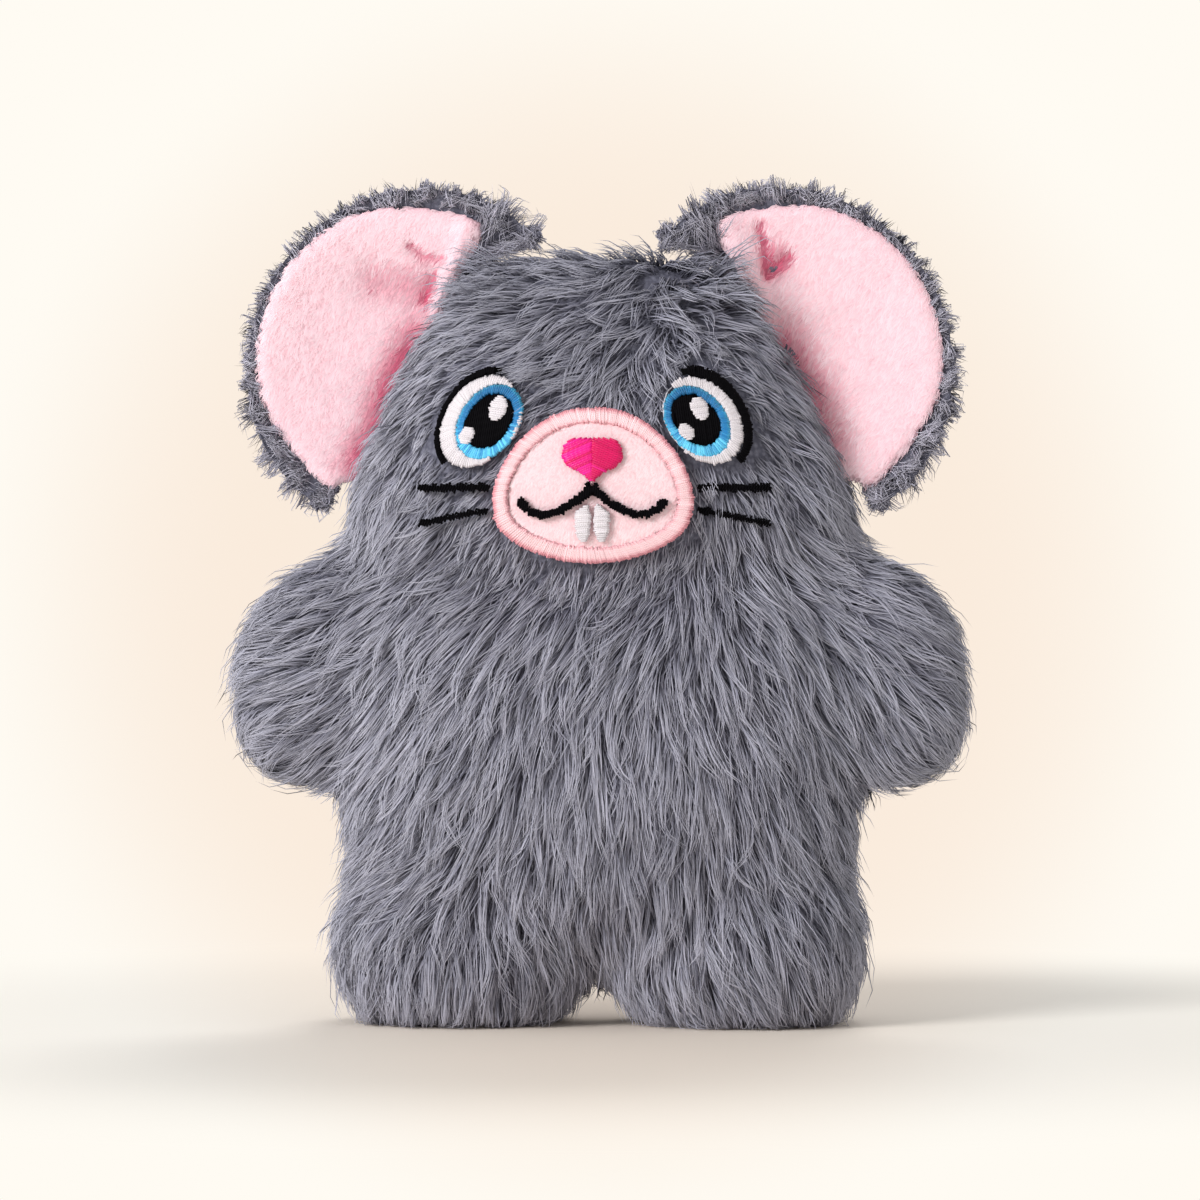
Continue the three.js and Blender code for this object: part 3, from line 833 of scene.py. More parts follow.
def combed(places):
    """The way the grey pile lies, before it is laid along the skin."""

    def drawn(table):
        rows = np.array(table, float)
        gap = places[:, None, [0, 2]] - rows[None, :, :2] * mm
        weight = ((gap**2).sum(2) + comb_reach**2) ** -comb_power
        turn = np.radians(rows[:, 2])
        return unit(weight @ np.stack([np.sin(turn), 0 * turn, -np.cos(turn)], 1))

    back = smoothstep(places[:, 1], *comb_turn)[:, None]
    return drawn(front_comb) * (1 - back) + drawn(back_comb) * back


# The pile is clipped to this share round the face. It is shorter on the crown, and shorter and lower along
# the side seam and round the soles, each over a span of heights or depths and by a share.
longest_pile = 11 * mm
highest_pile = 2.7 * mm
clipped_share = 0.42
clipped_reach = 10 * mm
crown_heights, crown_shorter = (96 * mm, 118 * mm), 0.25
sole_span, sole_shorter = (2 * mm, 12 * mm), 0.35
sole_rises, sole_lower = (1 * mm, 6 * mm), 0.4
seam_span, seam_less = (2 * mm, 11 * mm), 0.3
# Beside each ear the pile is caught up in the ear's seam and stands: how far out and how wide, over
# which heights, and how much higher
caught_at, caught_width = 15.5 * mm, 4.5 * mm
caught_heights, caught_rise = (110 * mm, 116 * mm), 4.0 * mm
crest_heights = (115 * mm, 121 * mm)
edge_room = {"muzzle": -1.2 * mm, "eyes": 0.3 * mm, "bare": 0.2 * mm}


def clipped(places, reach):
    return clipped_share + (1 - clipped_share) * smoothstep(off_face(places), 0, reach)


def by_seam(places):
    return 1 - seam_less * (1 - smoothstep(np.abs(places[:, 1]), *seam_span))


def pile_length(places):
    crown = smoothstep(places[:, 2], *crown_heights)
    sole = 1 - smoothstep(places[:, 2], *sole_span)
    length = longest_pile * clipped(places, clipped_reach)
    return length * (1 - crown_shorter * crown) * (1 - sole_shorter * sole) * by_seam(places)


def pile_rise(places):
    sole = 1 - smoothstep(places[:, 2], *sole_rises)
    caught = np.exp(-(((np.abs(places[:, 0]) - caught_at) / caught_width) ** 2))
    caught *= smoothstep(places[:, 2], *caught_heights)
    usual = highest_pile * clipped(places, face_fade) * (1 - sole_lower * sole) * by_seam(places)
    return usual + caught_rise * caught


def pile_roundness(places):
    """The fibres that stand up along the crest of the crown are each lit by themselves."""
    return 0.36 + 0.35 * smoothstep(places[:, 2], *crest_heights)


def pile_kept(places):
    off_muzzle, off_eyes = off_fields(places, muzzle_outlines), off_fields(places, eye_outlines)
    return (off_muzzle > edge_room["muzzle"]) & (off_eyes > edge_room["eyes"])


def pile_mess(places):
    """Where the comb's strokes part, the locks lie every way."""
    turn = np.full(len(places), plain_mess)
    for x, z, wide, degrees in partings:
        away = np.hypot(places[:, 0] - x * mm, places[:, 2] - z * mm)
        turn += degrees * np.exp(-((away / (wide * mm)) ** 2)) * (places[:, 1] < 0)
    return np.radians(turn)


lock_areas = {"front": 3.6 * mm * mm, "back": 4.1 * mm * mm}
long_pile = {
    "shape": long_strand,
    "strands": 8,
    "tone": 0.5,
    "length": pile_length,
    "rise": pile_rise,
    "keep": pile_kept,
    "bare": lambda places: off_fields(places, eye_outlines) < edge_room["bare"],
    "width": 0.225 * mm,
    "wave": 14 * mm,
    "sway": math.radians(12),
    "mess": pile_mess,
    "bend": math.radians(6),
    "clump": (0.25, 0.85),
    "curl": 0.45 * mm,
    "fray": 0.15 * mm,
    "under": 0.1,
    "stray": 0.06,
    "sink": 0.3 * mm,
    "floor": 0.25 * mm,
    "roundness": pile_roundness,
    "variety": 0.75,
    "tufts": (0.6, 1.45),
    "facing": 0.0,
}
undercoat_share = {"length": 0.6, "rise": 0.62}
undercoat = {
    **long_pile,
    "shape": short_strand,
    "lock_area": 2.9 * mm * mm,
    "strands": 4,
    "length": lambda places: undercoat_share["length"] * pile_length(places),
    "rise": lambda places: undercoat_share["rise"] * pile_rise(places),
    "width": 0.37 * mm,
    "clump": (0.1, 0.5),
    "stray": 0.0,
    "under": 0.3,
}


def sewn_limb(piece, limb):
    """An arm's piece keeps its place, with its transform applied. The rest is attached to the body."""
    if not limb.startswith("arm"):
        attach(piece, "body")
        return
    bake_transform(piece)


for number, (limb, half) in enumerate(sorted(labels)):
    panel = panel_form(limb, half)
    triangles = triangles_of(panel)
    style = {**long_pile, "lock_area": lock_areas[half]}
    pile = grow_pile(f"{limb}_{half}_pile", triangles, body_tree, combed, style, seed=number + 1)
    pile.data.materials.append(grey_pile)
    under = grow_pile(f"{limb}_{half}_undercoat", triangles, body_tree, combed, undercoat, seed=number + 21)
    under.data.materials.append(grey_undercoat)
    bmesh.ops.solidify(panel, geom=panel.faces[:], thickness=cloth_thickness)
    cover = object_from(panel, f"{limb}_{half}_cover", grey_backing)
    for piece in (cover, under, pile):
        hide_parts(f"{limb}_{half}_panel")
        sewn_limb(piece, limb)


# Torso, head, arms and legs: fillings
# Each cover is stuffed with loose white polyester fibre, pushed in by hand in lumps. It presses against
# the inside of the cover.
fibre_gap = 0.35 * mm
lump_size = 6 * mm
lump_depth = 0.9 * mm

fibre = knit_material("filling_fibre", srgb(240, 240, 236), srgb(206, 208, 208), 520)
for number, limb in enumerate(limbs):
    form = remeshed(joined(f"{limb}_filling"), form_voxel)
    smoothed(form, 2)
    drawn_in(form, lambda places, normals: fibre_gap + lump_depth * (0.5 + waves(places, lump_size, number)))
    filling = object_from(form, f"{limb}_filling_fibre", fibre)
    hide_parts(f"{limb}_filling")
    sewn_limb(filling, limb)


# Catnip pouch
# A small flat bag of undyed cotton, filled with dried catnip and laid in a pocket of the belly's filling.
# Its two sides are sewn together round the edge.
pouch_voxel = 0.7 * mm
hem_width = 1.6 * mm
hem_half = 0.45 * mm
leaf_size = 2.5 * mm
leaf_depth = 0.25 * mm
leaf_seed = 9

cotton_group, cotton_in, cotton_out = group_of(
    "cotton_weave",
    {"Scale": ("NodeSocketFloat", 900.0)},
    {"Color": "NodeSocketColor", "Height": "NodeSocketFloat"},
)
yarn_inputs = {
    "Vector": node(cotton_group, "ShaderNodeTexCoord").outputs["Object"],
    "Scale": cotton_in.outputs["Scale"],
    "Distortion": 1.5,
    "Detail Scale": 2.0,
}
yarns = [
    node(cotton_group, "ShaderNodeTexWave", yarn_inputs, bands_direction=bands).outputs["Fac"]
    for bands in ("X", "Z")
]
over = maths(cotton_group, "MAXIMUM", *yarns)
# The weave is darker where a yarn passes under, as painted shade.
yarn_colour = mixed(cotton_group, over, srgb(178, 164, 138), srgb(228, 218, 198))
cotton_group.links.new(yarn_colour, cotton_out.inputs["Color"])
cotton_group.links.new(over, cotton_out.inputs["Height"])

pouch_cotton, pouch_tree, pouch_shader = new_material("pouch_cotton_cloth")
weave = node(pouch_tree, "ShaderNodeGroup", node_tree=cotton_group).outputs
bumped(pouch_shader, weave["Height"], strength=0.6, distance=0.15 * mm)
finished(pouch_shader, weave["Color"], roughness=0.9, specular=0.5)

low, high = (Vector(corner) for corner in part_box("catnip_pouch"))
pouch_middle, pouch_half = (low + high) / 2, (high - low) / 2
form = remeshed(joined("catnip_pouch"), pouch_voxel)
lumps = waves(np.array([v.co for v in form.verts]), leaf_size, leaf_seed)
for vert, lump in zip(form.verts, lumps):
    local = vert.co - pouch_middle
    edge = max(abs(local.x) / pouch_half.x, abs(local.z) / pouch_half.z)
    hem = smoothstep(edge, 1 - hem_width / pouch_half.z, 1)
    local.y *= 1 - hem * (1 - hem_half / pouch_half.y)
    vert.co = pouch_middle + local
    vert.co -= vert.normal * leaf_depth * (0.5 + lump) * (1 - hem)
smoothed(form, 1)
pouch = object_from(form, "catnip_pouch_bag", pouch_cotton)
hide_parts("catnip_pouch")
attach(pouch, "body")


# Ears: grey backs
# Each ear is a half-moon cushion of the same grey plush, a little dished, and gathered to the head along
# its straight root, where it folds. Its short pile stands out as a bristly rim.
ear_voxel = 0.7 * mm
ear_half = (27.5 * mm, 29.3 * mm)
ear_dish = 6.5 * mm
ear_dish_share = 0.4
ear_root = (1.5 * mm, 2.6 * mm)
ear_pile_depth = 1.0 * mm
ear_smoothing = 3
# The pile is left out where the lining covers it, and where it would stand in the head: how far in
# across, the middle of that stretch up the root, and half its height
under_lining = 0.8 * mm
in_head_stretch = (-1.5 * mm, -2 * mm, 18 * mm)
rim_fall = (0, 0.15, -0.35)
# The shares of the ear over which the pile turns down at the rim, and stands out there
rim_turn = (0.8, 1)
rim_shares = (0.84, 0.97)
# Places up the root and across where the lobe by the crown is full, and down to the ear's lowest end
lobe_up, lobe_across = (12 * mm, 20 * mm), (0, 7 * mm)
chin_down, chin_share = (14 * mm, 22 * mm), 0.7
# Each row: the usual size, and how much more at the rim and in the lobe
ear_lengths = (4.4 * mm, -2.7 * mm, 2.6 * mm)
ear_rises = (1.5 * mm, 1.1 * mm, 1.6 * mm)


def ear_axes(side):
    """The ear's directions across and up its root, and its middle, all from the frame's joint."""
    joint = next(joint for joint in frame["joints"] if joint["child"] == f"ear_{side}")
    up = np.array(joint["axis"]) * math.copysign(1, joint["axis"][2])
    across = np.array([up[2], 0, -up[0]]) * (1 if side == "left" else -1)
    middle = np.array(joint["pos_m"]) - ear_root[0] * across - np.array([0, ear_root[1], 0])
    return across, up, middle


def ear_dished(across, up):
    return ear_dish * (ear_dish_share - (across / ear_half[0]) ** 2 - (up / ear_half[1]) ** 2)


def to_ear(places, side):
    """Places as distances across the ear, up its root, and in front of its dished middle."""
    across, up, middle = ear_axes(side)
    away = places - middle
    a, u = away @ across, away @ up
    return np.stack([a, u, ear_dished(a, u) - away[:, 1]], 1)


def from_ear(local, side):
    across, up, middle = ear_axes(side)
    a, u, level = local[:, :1], local[:, 1:2], local[:, 2:]
    return middle + a * across + u * up + (ear_dished(a, u) - level) * np.array([0, 1, 0])


def ear_share(local):
    """From 0 at the ear's middle to 1 at its round edge."""
    return np.hypot(local[:, 0] / ear_half[0], local[:, 1] / ear_half[1])


def smooth_line(value, points):
    """A height between chosen points in mm."""
    xs, ys = zip(*points)
    return np.interp(value, np.array(xs) * mm, np.array(ys) * mm)


# The pink lining's straight edge, across against up the root: in the frame, and where the cheek's pile
# meets it
lining_edge_frame = [
    (-26, 2.3), (-20, 2.8), (-12, 3.6), (-6, 4.3), (0, 4.7), (6, 4.4), (12, 2.1), (18, 1), (24, 1),
]
lining_edge_sewn = [
    (-26, 1), (-22.5, -1), (-19.5, -4), (-12, -3.5), (-6, -2), (0, -1), (6, -1.5), (12, -1.5),
    (18, 0), (24, 1.8),
]
lining_half = (25.6 * mm, 25 * mm)


def off_lining(local):
    """How far a place lies inside the pink lining's outline."""
    across, up = lining_half
    round_edge = (1 - np.hypot(local[:, 0] / across, local[:, 1] / up)) * up
    return np.minimum(round_edge, local[:, 0] - smooth_line(local[:, 1], lining_edge_sewn))


def ear_flow(side):
    """The ear's pile lies outwards from the root, and at the rim a little down and back."""
    across, up, _ = ear_axes(side)

    def flow(places):
        local = to_ear(places, side)
        way = unit(local[:, :1] * across + local[:, 1:2] * up)
        rim = smoothstep(ear_share(local), *rim_turn)[:, None]
        return way + rim * np.array(rim_fall)

    return flow


def ear_kept(side):
    """The pile is left out under the lining, and in the head."""
    inwards, middle, reach = in_head_stretch

    def keep(places):
        local = to_ear(places, side)
        covered = (local[:, 2] > 0) & (off_lining(local) > under_lining)
        in_head = (local[:, 0] < inwards) & (np.abs(local[:, 1] - middle) < reach)
        return ~covered & ~in_head

    return keep


def ear_fullness(side):
    """The rim's pile stands straight out, each fibre lit by itself, and its tone is raised there as painted
    light; the lobe by the crown is the fullest, and its tone is raised a little too."""

    def parts(places):
        local = to_ear(places, side)
        rim = smoothstep(ear_share(local), *rim_shares)
        lobe = smoothstep(local[:, 1], *lobe_up) * (1 - smoothstep(local[:, 0], *lobe_across))
        chin = smoothstep(-local[:, 1], *chin_down)
        return rim, np.maximum(lobe, chin_share * chin)

    def sized(usual, at_rim, in_lobe):
        def size(places):
            rim, lobe = parts(places)
            return usual + at_rim * rim + in_lobe * lobe

        return size

    def roundness(places):
        rim, lobe = parts(places)
        return 0.35 + 0.5 * np.maximum(rim, lobe)

    def tone(places):
        rim, lobe = parts(places)
        return 0.5 + 0.45 * np.maximum(rim, 0.5 * lobe)

    return {
        "length": sized(*ear_lengths), "rise": sized(*ear_rises), "roundness": roundness, "tone": tone
    }


ear_fuzz = pile_material(
    "ear_fuzz", srgb(131, 129, 142), srgb(163, 161, 174), srgb(188, 185, 197), srgb(128, 126, 138), 1.1
)
ear_pile = {
    **long_pile,
    "shape": short_strand,
    "lock_area": 1.2 * mm * mm,
    "width": 0.21 * mm,
    "wave": 8 * mm,
    "sway": math.radians(18),
    "mess": math.radians(24),
    "clump": (-0.2, 0.3),
    "curl": 0.2 * mm,
    "under": 0.35,
    "stray": 0.0,
    "bare": 0,
    "variety": 0.5,
    "tufts": (0.85, 1.15),
}


def sewn_ear(piece):
    """An ear's piece keeps its place, with its transform applied."""
    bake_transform(piece)


for number, side in enumerate(("left", "right")):
    form = remeshed(joined(f"ear_{side}_back"), ear_voxel)
    smoothed(form, ear_smoothing)
    drawn_in(form, evenly(ear_pile_depth))
    skin = BVHTree.FromBMesh(form)
    style = {**ear_pile, "keep": ear_kept(side), **ear_fullness(side)}
    pile = grow_pile(
        f"ear_{side}_back_pile", triangles_of(form), skin, ear_flow(side), style, seed=41 + number
    )
    pile.data.materials.append(ear_fuzz)
    back = object_from(form, f"ear_{side}_back_cushion", grey_backing)
    for piece in (back, pile):
        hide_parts(f"ear_{side}_back")
        sewn_ear(piece)


# Ears: pink linings
# The front of each ear is short pink plush over the same cushion. Sewing it in drew it up into a lip
# along the root, with creases beside it, and the nap lies down and to the side.
lining_levels = (2.34 * mm, 4.34 * mm)
lining_base = 0.6 * mm
lining_height = 2.7 * mm
lining_least = 0.4 * mm
lining_edge_share = 0.35
lining_round = 3 * mm
lining_spread = 12 * mm
ripple_height, ripple_size, ripple_seed = 0.2 * mm, 9 * mm, 3
crease_width = 0.9 * mm
crease_depth = 1.3 * mm
# How far from the edge the lip stands, how wide and how high it is, and where up the root it begins
lip_middle, lip_width, lip_height = 2.4 * mm, 1.7 * mm, 0.9 * mm
lip_start = (2 * mm, 10 * mm)
nap_fall = (-0.55, 0, -0.83)
nap_level = 0.9 * mm
# The nap's tone, a little paler on the right ear as painted light, how much painted shade it takes by the
# cheek, and from how high up
nap_tones = {"left": (0.46, 0.3, -22 * mm), "right": (0.52, 0.5, -25 * mm)}
cheek_room = 1.5 * mm
cheek_shade = 5 * mm
cheek_top = (2 * mm, 15 * mm)
cheek_fade = 8 * mm
# How much the nap's tone follows the lining's relief, as painted shade in the creases and hollows and painted
# light on the lip, and the least and most relief in mm
relief_share, relief_limits = 0.25, (-1.4, 0.3)
# Places across and up in mm, along each crease
creases = {
    "left": [[(7.9, 20.3), (6.6, 16.5), (5.0, 13.3)], [(5.0, 13.3), (7.2, 13.2), (9.3, 13.8)]],
    "right": [[(10, 15.6), (7.2, 15.4), (4.6, 16.6)], [(4.4, 13.5), (3.6, 9.5)]],
}
# Places across and up in mm, with how wide and how deep each hollow is
hollows = {"left": [(7.5, 14.5, 3.4, 0.9)], "right": [(11.8, 8.2, 4.4, 1.0), (6.0, 11, 3.6, 0.9)]}


def off_line(places, line):
    """How far flat places lie from a line through chosen points in mm."""
    ends = np.array(line) * mm
    away = []
    for start, end in zip(ends[:-1], ends[1:]):
        share = np.clip((places - start) @ (end - start) / ((end - start) @ (end - start)), 0, 1)
        away.append(np.linalg.norm(places - start - share[:, None] * (end - start), axis=1))
    return np.min(away, axis=0)


def lining_relief(local, side):
    """How far the sewing lifts or draws down the lining's face."""
    flat = local[:, :2]
    lift = ripple_height * waves(local * np.array([1, 1, 0]), ripple_size, ripple_seed)
    for line in creases[side]:
        lift -= crease_depth * np.exp(-((off_line(flat, line) / crease_width) ** 2))
    for across, up, wide, deep in hollows[side]:
        away = np.hypot(flat[:, 0] - across * mm, flat[:, 1] - up * mm)
        lift -= deep * mm * np.exp(-((away / (wide * mm)) ** 2))
    edge = flat[:, 0] - smooth_line(flat[:, 1], lining_edge_sewn)
    lip = np.exp(-(((edge - lip_middle) / lip_width) ** 2)) * smoothstep(flat[:, 1], *lip_start)
    return lift + lip_height * lip


def lining_form(side):
    """The lining's cloth, crowned, with its straight edge drawn to where it is sewn."""
    form = remeshed(joined(f"ear_{side}_lining"), ear_voxel)
    smoothed(form, 2)
    local = to_ear(np.array([v.co for v in form.verts]), side)
    old = smooth_line(local[:, 1], lining_edge_frame)
    new = smooth_line(local[:, 1], lining_edge_sewn)
    local[:, 0] -= (old - new) * (1 - smoothstep(local[:, 0], old, old + lining_spread))
    low, high = lining_levels
    share = np.clip((local[:, 2] - low) / (high - low), 0, 1)
    edge = np.clip(off_lining(local) / lining_round, 0, 1)
    crown = lining_edge_share + (1 - lining_edge_share) * np.sqrt(1 - (1 - edge) ** 2)
    height = np.maximum(lining_height * crown + lining_relief(local, side), lining_least)
    local[:, 2] = lining_base + share * height
    for vert, place in zip(form.verts, from_ear(local, side)):
        vert.co = place
    smoothed(form, 1)
    form.normal_update()
    return form


# The deep pink that is painted as shade in the creases, the hollows and by the cheek
lining_painted_shade = srgb(214, 104, 132)
pink_pile = pile_material(
    "pink_pile", srgb(251, 208, 219), srgb(253, 217, 227), srgb(255, 225, 233), lining_painted_shade, 0.5
)
# The cloth under the nap is as deep a pink as the nap over it, and takes the same painted shade
lining_knit = knit_material("lining_knit", srgb(253, 213, 222), srgb(249, 201, 212), 2200)
lining_tree = lining_knit.node_tree
lining_shader = lining_tree.nodes["Principled BSDF"]
lining_colour = lining_shader.inputs["Base Color"].links[0].from_socket
lining_tone, _ = strand_facts(lining_tree)
lining_tone = eased(lining_tree, lining_tone, *deep_tones, ease="LINEAR")
lining_colour = mixed(lining_tree, lining_tone, lining_colour, lining_painted_shade)
lining_tree.links.new(lining_colour, lining_shader.inputs["Base Color"])
pink_nap = {
    **ear_pile,
    "lock_area": 0.62 * mm * mm,
    "strands": 4,
    "length": 1.5 * mm,
    "width": 0.24 * mm,
    "wave": 4 * mm,
    "mess": math.radians(12),
    "rise": 0.35 * mm,
    "clump": (0.0, 0.3),
    "curl": 0.05 * mm,
    "fray": 0.05 * mm,
    "under": 0.0,
    "stray": 0.03,
    "sink": 0.1 * mm,
    "roundness": 0.1,
    "variety": 0.2,
    "facing": -0.8,
}


def nap_falls(places):
    return np.broadcast_to(np.array(nap_fall), places.shape)


def nap_tone(side):
    """The nap's painted shade: deepest pink down in the creases and hollows, and where it goes in under the
    cheek's pile, and a little lighter on the lip.
    """

    def tone(places):
        local = to_ear(places, side)
        edge = local[:, 0] - smooth_line(local[:, 1], lining_edge_sewn)
        base, shade, low_end = nap_tones[side]
        cheek = np.exp(-((np.maximum(edge - cheek_room, 0) / cheek_shade) ** 2))
        cheek *= 1 - smoothstep(local[:, 1], *cheek_top)
        cheek *= smoothstep(local[:, 1], low_end, low_end + cheek_fade)
        relief = np.clip(lining_relief(local, side) / mm, *relief_limits)
        return base + relief_share * relief - shade * cheek

    return tone


for number, side in enumerate(("left", "right")):
    form = lining_form(side)
    skin = BVHTree.FromBMesh(form)
    style = {
        **pink_nap,
        "keep": lambda places: to_ear(places, side)[:, 2] > nap_level,
        "tone": nap_tone(side),
    }
    nap = grow_pile(f"ear_{side}_lining_nap", triangles_of(form), skin, nap_falls, style, seed=51 + number)
    nap.data.materials.append(pink_pile)
    nap.visible_shadow = nap.visible_diffuse = False
    facts = np.zeros((len(form.verts), 3))
    facts[:, 0] = nap_tone(side)(np.array([v.co for v in form.verts]))
    lining = object_from(form, f"ear_{side}_lining_cloth", lining_knit)
    lining.data.attributes.new("strand", "FLOAT_VECTOR", "POINT").data.foreach_set("vector", facts.ravel())
    for piece in (lining, nap):
        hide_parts(f"ear_{side}_lining")
        sewn_ear(piece)


# Muzzle: velour patch
# The muzzle is a domed patch of very short pale pink plush, sewn on over the front of the head. The nose,
# mouth and teeth are embroidered through it, so its nap keeps off their threads.
patch_voxel = 0.5 * mm
patch_sink = 0.1 * mm
patch_spread = 1.3 * mm
patch_front = -12 * mm
border_width = 2.5 * mm
stitch_room = 0.25 * mm
border_overlap = 0.45 * mm


def inset(loop, depth):
    """A round outline drawn in by a depth."""
    middle = (loop.max(0) + loop.min(0)) / 2
    return middle + (loop - middle) * (1 - 2 * depth / np.ptp(loop, axis=0))


sewn_through = ("nose_stitch", "mouth_stitch", "tooth_left_stitch", "tooth_right_stitch")
patch_outlines = [outline_of(name) for name in sewn_through]
patch_edge = inset(outline_of("muzzle_border"), border_width)


def off_stitches(places):
    """How far each place of the muzzle lies from the threads on it and round it."""
    flat = places[:, [0, 2]]
    away = np.min([outside(flat, outline) for outline in patch_outlines], axis=0)
    return np.minimum(away, border_overlap - outside(flat, patch_edge))


velour_nap = {
    **pink_nap,
    "lock_area": 0.5 * mm * mm,
    "length": 1.1 * mm,
    "width": 0.2 * mm,
    "rise": 0.25 * mm,
    "keep": lambda places: (off_stitches(places) > stitch_room) & (places[:, 1] < patch_front),
    "tone": 0.5,
}
velour_pile = pile_material(
    "velour_pile", srgb(250, 214, 220), srgb(253, 223, 228), srgb(255, 232, 236), srgb(242, 186, 196), 0.3
)
muzzle_knit = knit_material("muzzle_knit", srgb(252, 220, 224), srgb(247, 206, 212), 2200)
form = remeshed(joined("muzzle_patch"), patch_voxel)
low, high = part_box("muzzle_patch")
patch_middle, patch_half = (low + high) / 2, (high - low) / 2
for vert in form.verts:
    for i in (0, 2):
        vert.co[i] += (vert.co[i] - patch_middle[i]) * patch_spread / patch_half[i]
smoothed(form, 2)
drawn_in(form, evenly(patch_sink))
skin = BVHTree.FromBMesh(form)
nap = grow_pile("muzzle_patch_nap", triangles_of(form), skin, nap_falls, velour_nap, seed=61)
nap.data.materials.append(velour_pile)
nap.visible_shadow = nap.visible_diffuse = False
patch = object_from(form, "muzzle_patch_cloth", muzzle_knit)
for piece in (patch, nap):
    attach(piece, "body")
    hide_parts("muzzle_patch")


# Embroidery: thread
# All of the face is machine-embroidered in glossy two-ply rayon thread. Each satin stitch goes down into
# the cloth at both ends and lies over a layer of underlay in the same colour.
thread_width = 0.42 * mm
thread_pitch = 0.33 * mm
thread_height = 0.3 * mm
thread_lift = 0.06 * mm
thread_dive = 0.55 * mm
dive_power = 10
# How threads differ in width, in height and in tone
thread_widths = (0.92, 1.08)
thread_unevenness = 0.02 * mm
thread_tones = 0.11
underlay_inset = 0.22 * mm
underlay_drop = 0.2 * mm
wall_slope = 0.45
in_front = -60 * mm
ply_turns = 7
ply_shade = 0.07
# The shares of a stitch over which the thread's colour turns at its start and end, and the lighter tones,
# where a painted sheen comes in
start_part = (0.3, 0.05)
end_part = (0.6, 0.95)
light_tones = (0.55, 0.85)
underlay_scale = 2600
stitch_shape = strand_shape(6, (0.05, 0.16, 0.38, 0.62, 0.84, 0.95), pointed=False)

thread_group, thread_in, thread_out = group_of(
    "thread",
    {
        "Start": ("NodeSocketColor", (0.5, 0.5, 0.5, 1)),
        "Color": ("NodeSocketColor", (0.5, 0.5, 0.5, 1)),
        "End": ("NodeSocketColor", (0.5, 0.5, 0.5, 1)),
        "Light": ("NodeSocketColor", (0.5, 0.5, 0.5, 1)),
        "Spread": ("NodeSocketFloat", 0.4),
    },
    {"Color": "NodeSocketColor", "Height": "NodeSocketFloat"},
)
thread_tone, thread_along = strand_facts(thread_group)
thread_colour = thread_in.outputs["Color"]
near_start = eased(thread_group, thread_along, *start_part)
near_end = eased(thread_group, thread_along, *end_part)
light_tone = eased(thread_group, thread_tone, *light_tones, ease="LINEAR")
for share, other in {near_start: "Start", near_end: "End", light_tone: "Light"}.items():
    thread_colour = mixed(thread_group, share, thread_colour, thread_in.outputs[other])
round_thread = node(thread_group, "ShaderNodeUVMap", uv_map="thread").outputs["UV"]
round_parts = node(thread_group, "ShaderNodeSeparateXYZ", {0: round_thread}).outputs
twist = maths(thread_group, "MULTIPLY_ADD", round_parts["X"], 2.0, round_parts["Y"])
ply = maths(thread_group, "SINE", maths(thread_group, "MULTIPLY", twist, 2 * math.pi))
thread_shade = shaded(thread_group, thread_tone, thread_in.outputs["Spread"])
thread_shade = maths(thread_group, "MULTIPLY_ADD", ply, ply_shade, thread_shade)
thread_colour = vector_maths(thread_group, "SCALE", {0: thread_colour, "Scale": thread_shade})[0]
thread_group.links.new(thread_colour, thread_out.inputs["Color"])
thread_group.links.new(ply, thread_out.inputs["Height"])


def thread_material(
    name, colour, start=None, end=None, light=None, spread=0.5, roughness=0.38, specular=0.45
):
    """Thread of one colour, or with another at the ends where it goes down into the cloth, which on the
    border is painted shade, and in the lightest stitches, which is a painted sheen."""
    material, tree, shader = new_material(name)
    inputs = {"Start": start or colour, "Color": colour, "End": end or colour, "Light": light or colour}
    group = node(tree, "ShaderNodeGroup", {**inputs, "Spread": spread}, node_tree=thread_group)
    bumped(shader, group.outputs["Height"], strength=0.4, distance=0.04 * mm)
    finished(shader, group.outputs["Color"], roughness, specular)
    return material


def underlay_material(colour, thread, valley_shade):
    """Underlay in the same colour as a thread, with painted shade between its stitches."""
    return knit_material(f"{colour}_underlay", srgb(*thread), srgb(*valley_shade), underlay_scale)


def crossings(loops, start, way):
    """Where a line meets closed outlines, as distances from its start, in order."""
    found = []
    for loop in loops:
        corner, step = loop, np.roll(loop, -1, 0) - loop
        cross = way[0] * step[:, 1] - way[1] * step[:, 0]
        cross = np.where(np.abs(cross) < 1e-12, 1e-12, cross)
        gap = corner - start
        along = (gap[:, 0] * step[:, 1] - gap[:, 1] * step[:, 0]) / cross
        share = (gap[:, 0] * way[1] - gap[:, 1] * way[0]) / cross
        found += list(along[(share >= 0) & (share < 1)])
    return sorted(found)


def rows(loops, degrees, pitch=thread_pitch):
    """Parallel stitches that fill outlines, at an angle from level."""
    turn = math.radians(degrees)
    way, aside = np.array([math.cos(turn), math.sin(turn)]), np.array([-math.sin(turn), math.cos(turn)])
    spread = np.concatenate(loops) @ aside
    stitches = []
    for offset in np.arange(spread.min() + pitch / 2, spread.max(), pitch):
        start = offset * aside
        found = crossings(loops, start, way)
        stitches += [(start + way * low, start + way * high) for low, high in zip(found[::2], found[1::2])]
    return stitches


def spokes(loops, middle, reach, slant=0):
    """Stitches that point away from a middle, between outlines. reach is how far out their pitch is kept."""
    stitches = []
    count = round(2 * math.pi * reach / thread_pitch)
    for turn in np.arange(count) / count * 2 * math.pi:
        way = np.array([math.cos(turn), math.sin(turn)])
        found = [along for along in crossings(loops, middle, way) if along > 0]
        found = found[len(found) % 2 :]
        lean = np.array([-way[1], way[0]]) * slant
        for low, high in zip(found[::2], found[1::2]):
            shift = lean * (high - low) / 2
            stitches.append((middle + way * low - shift, middle + way * high + shift))
    return stitches


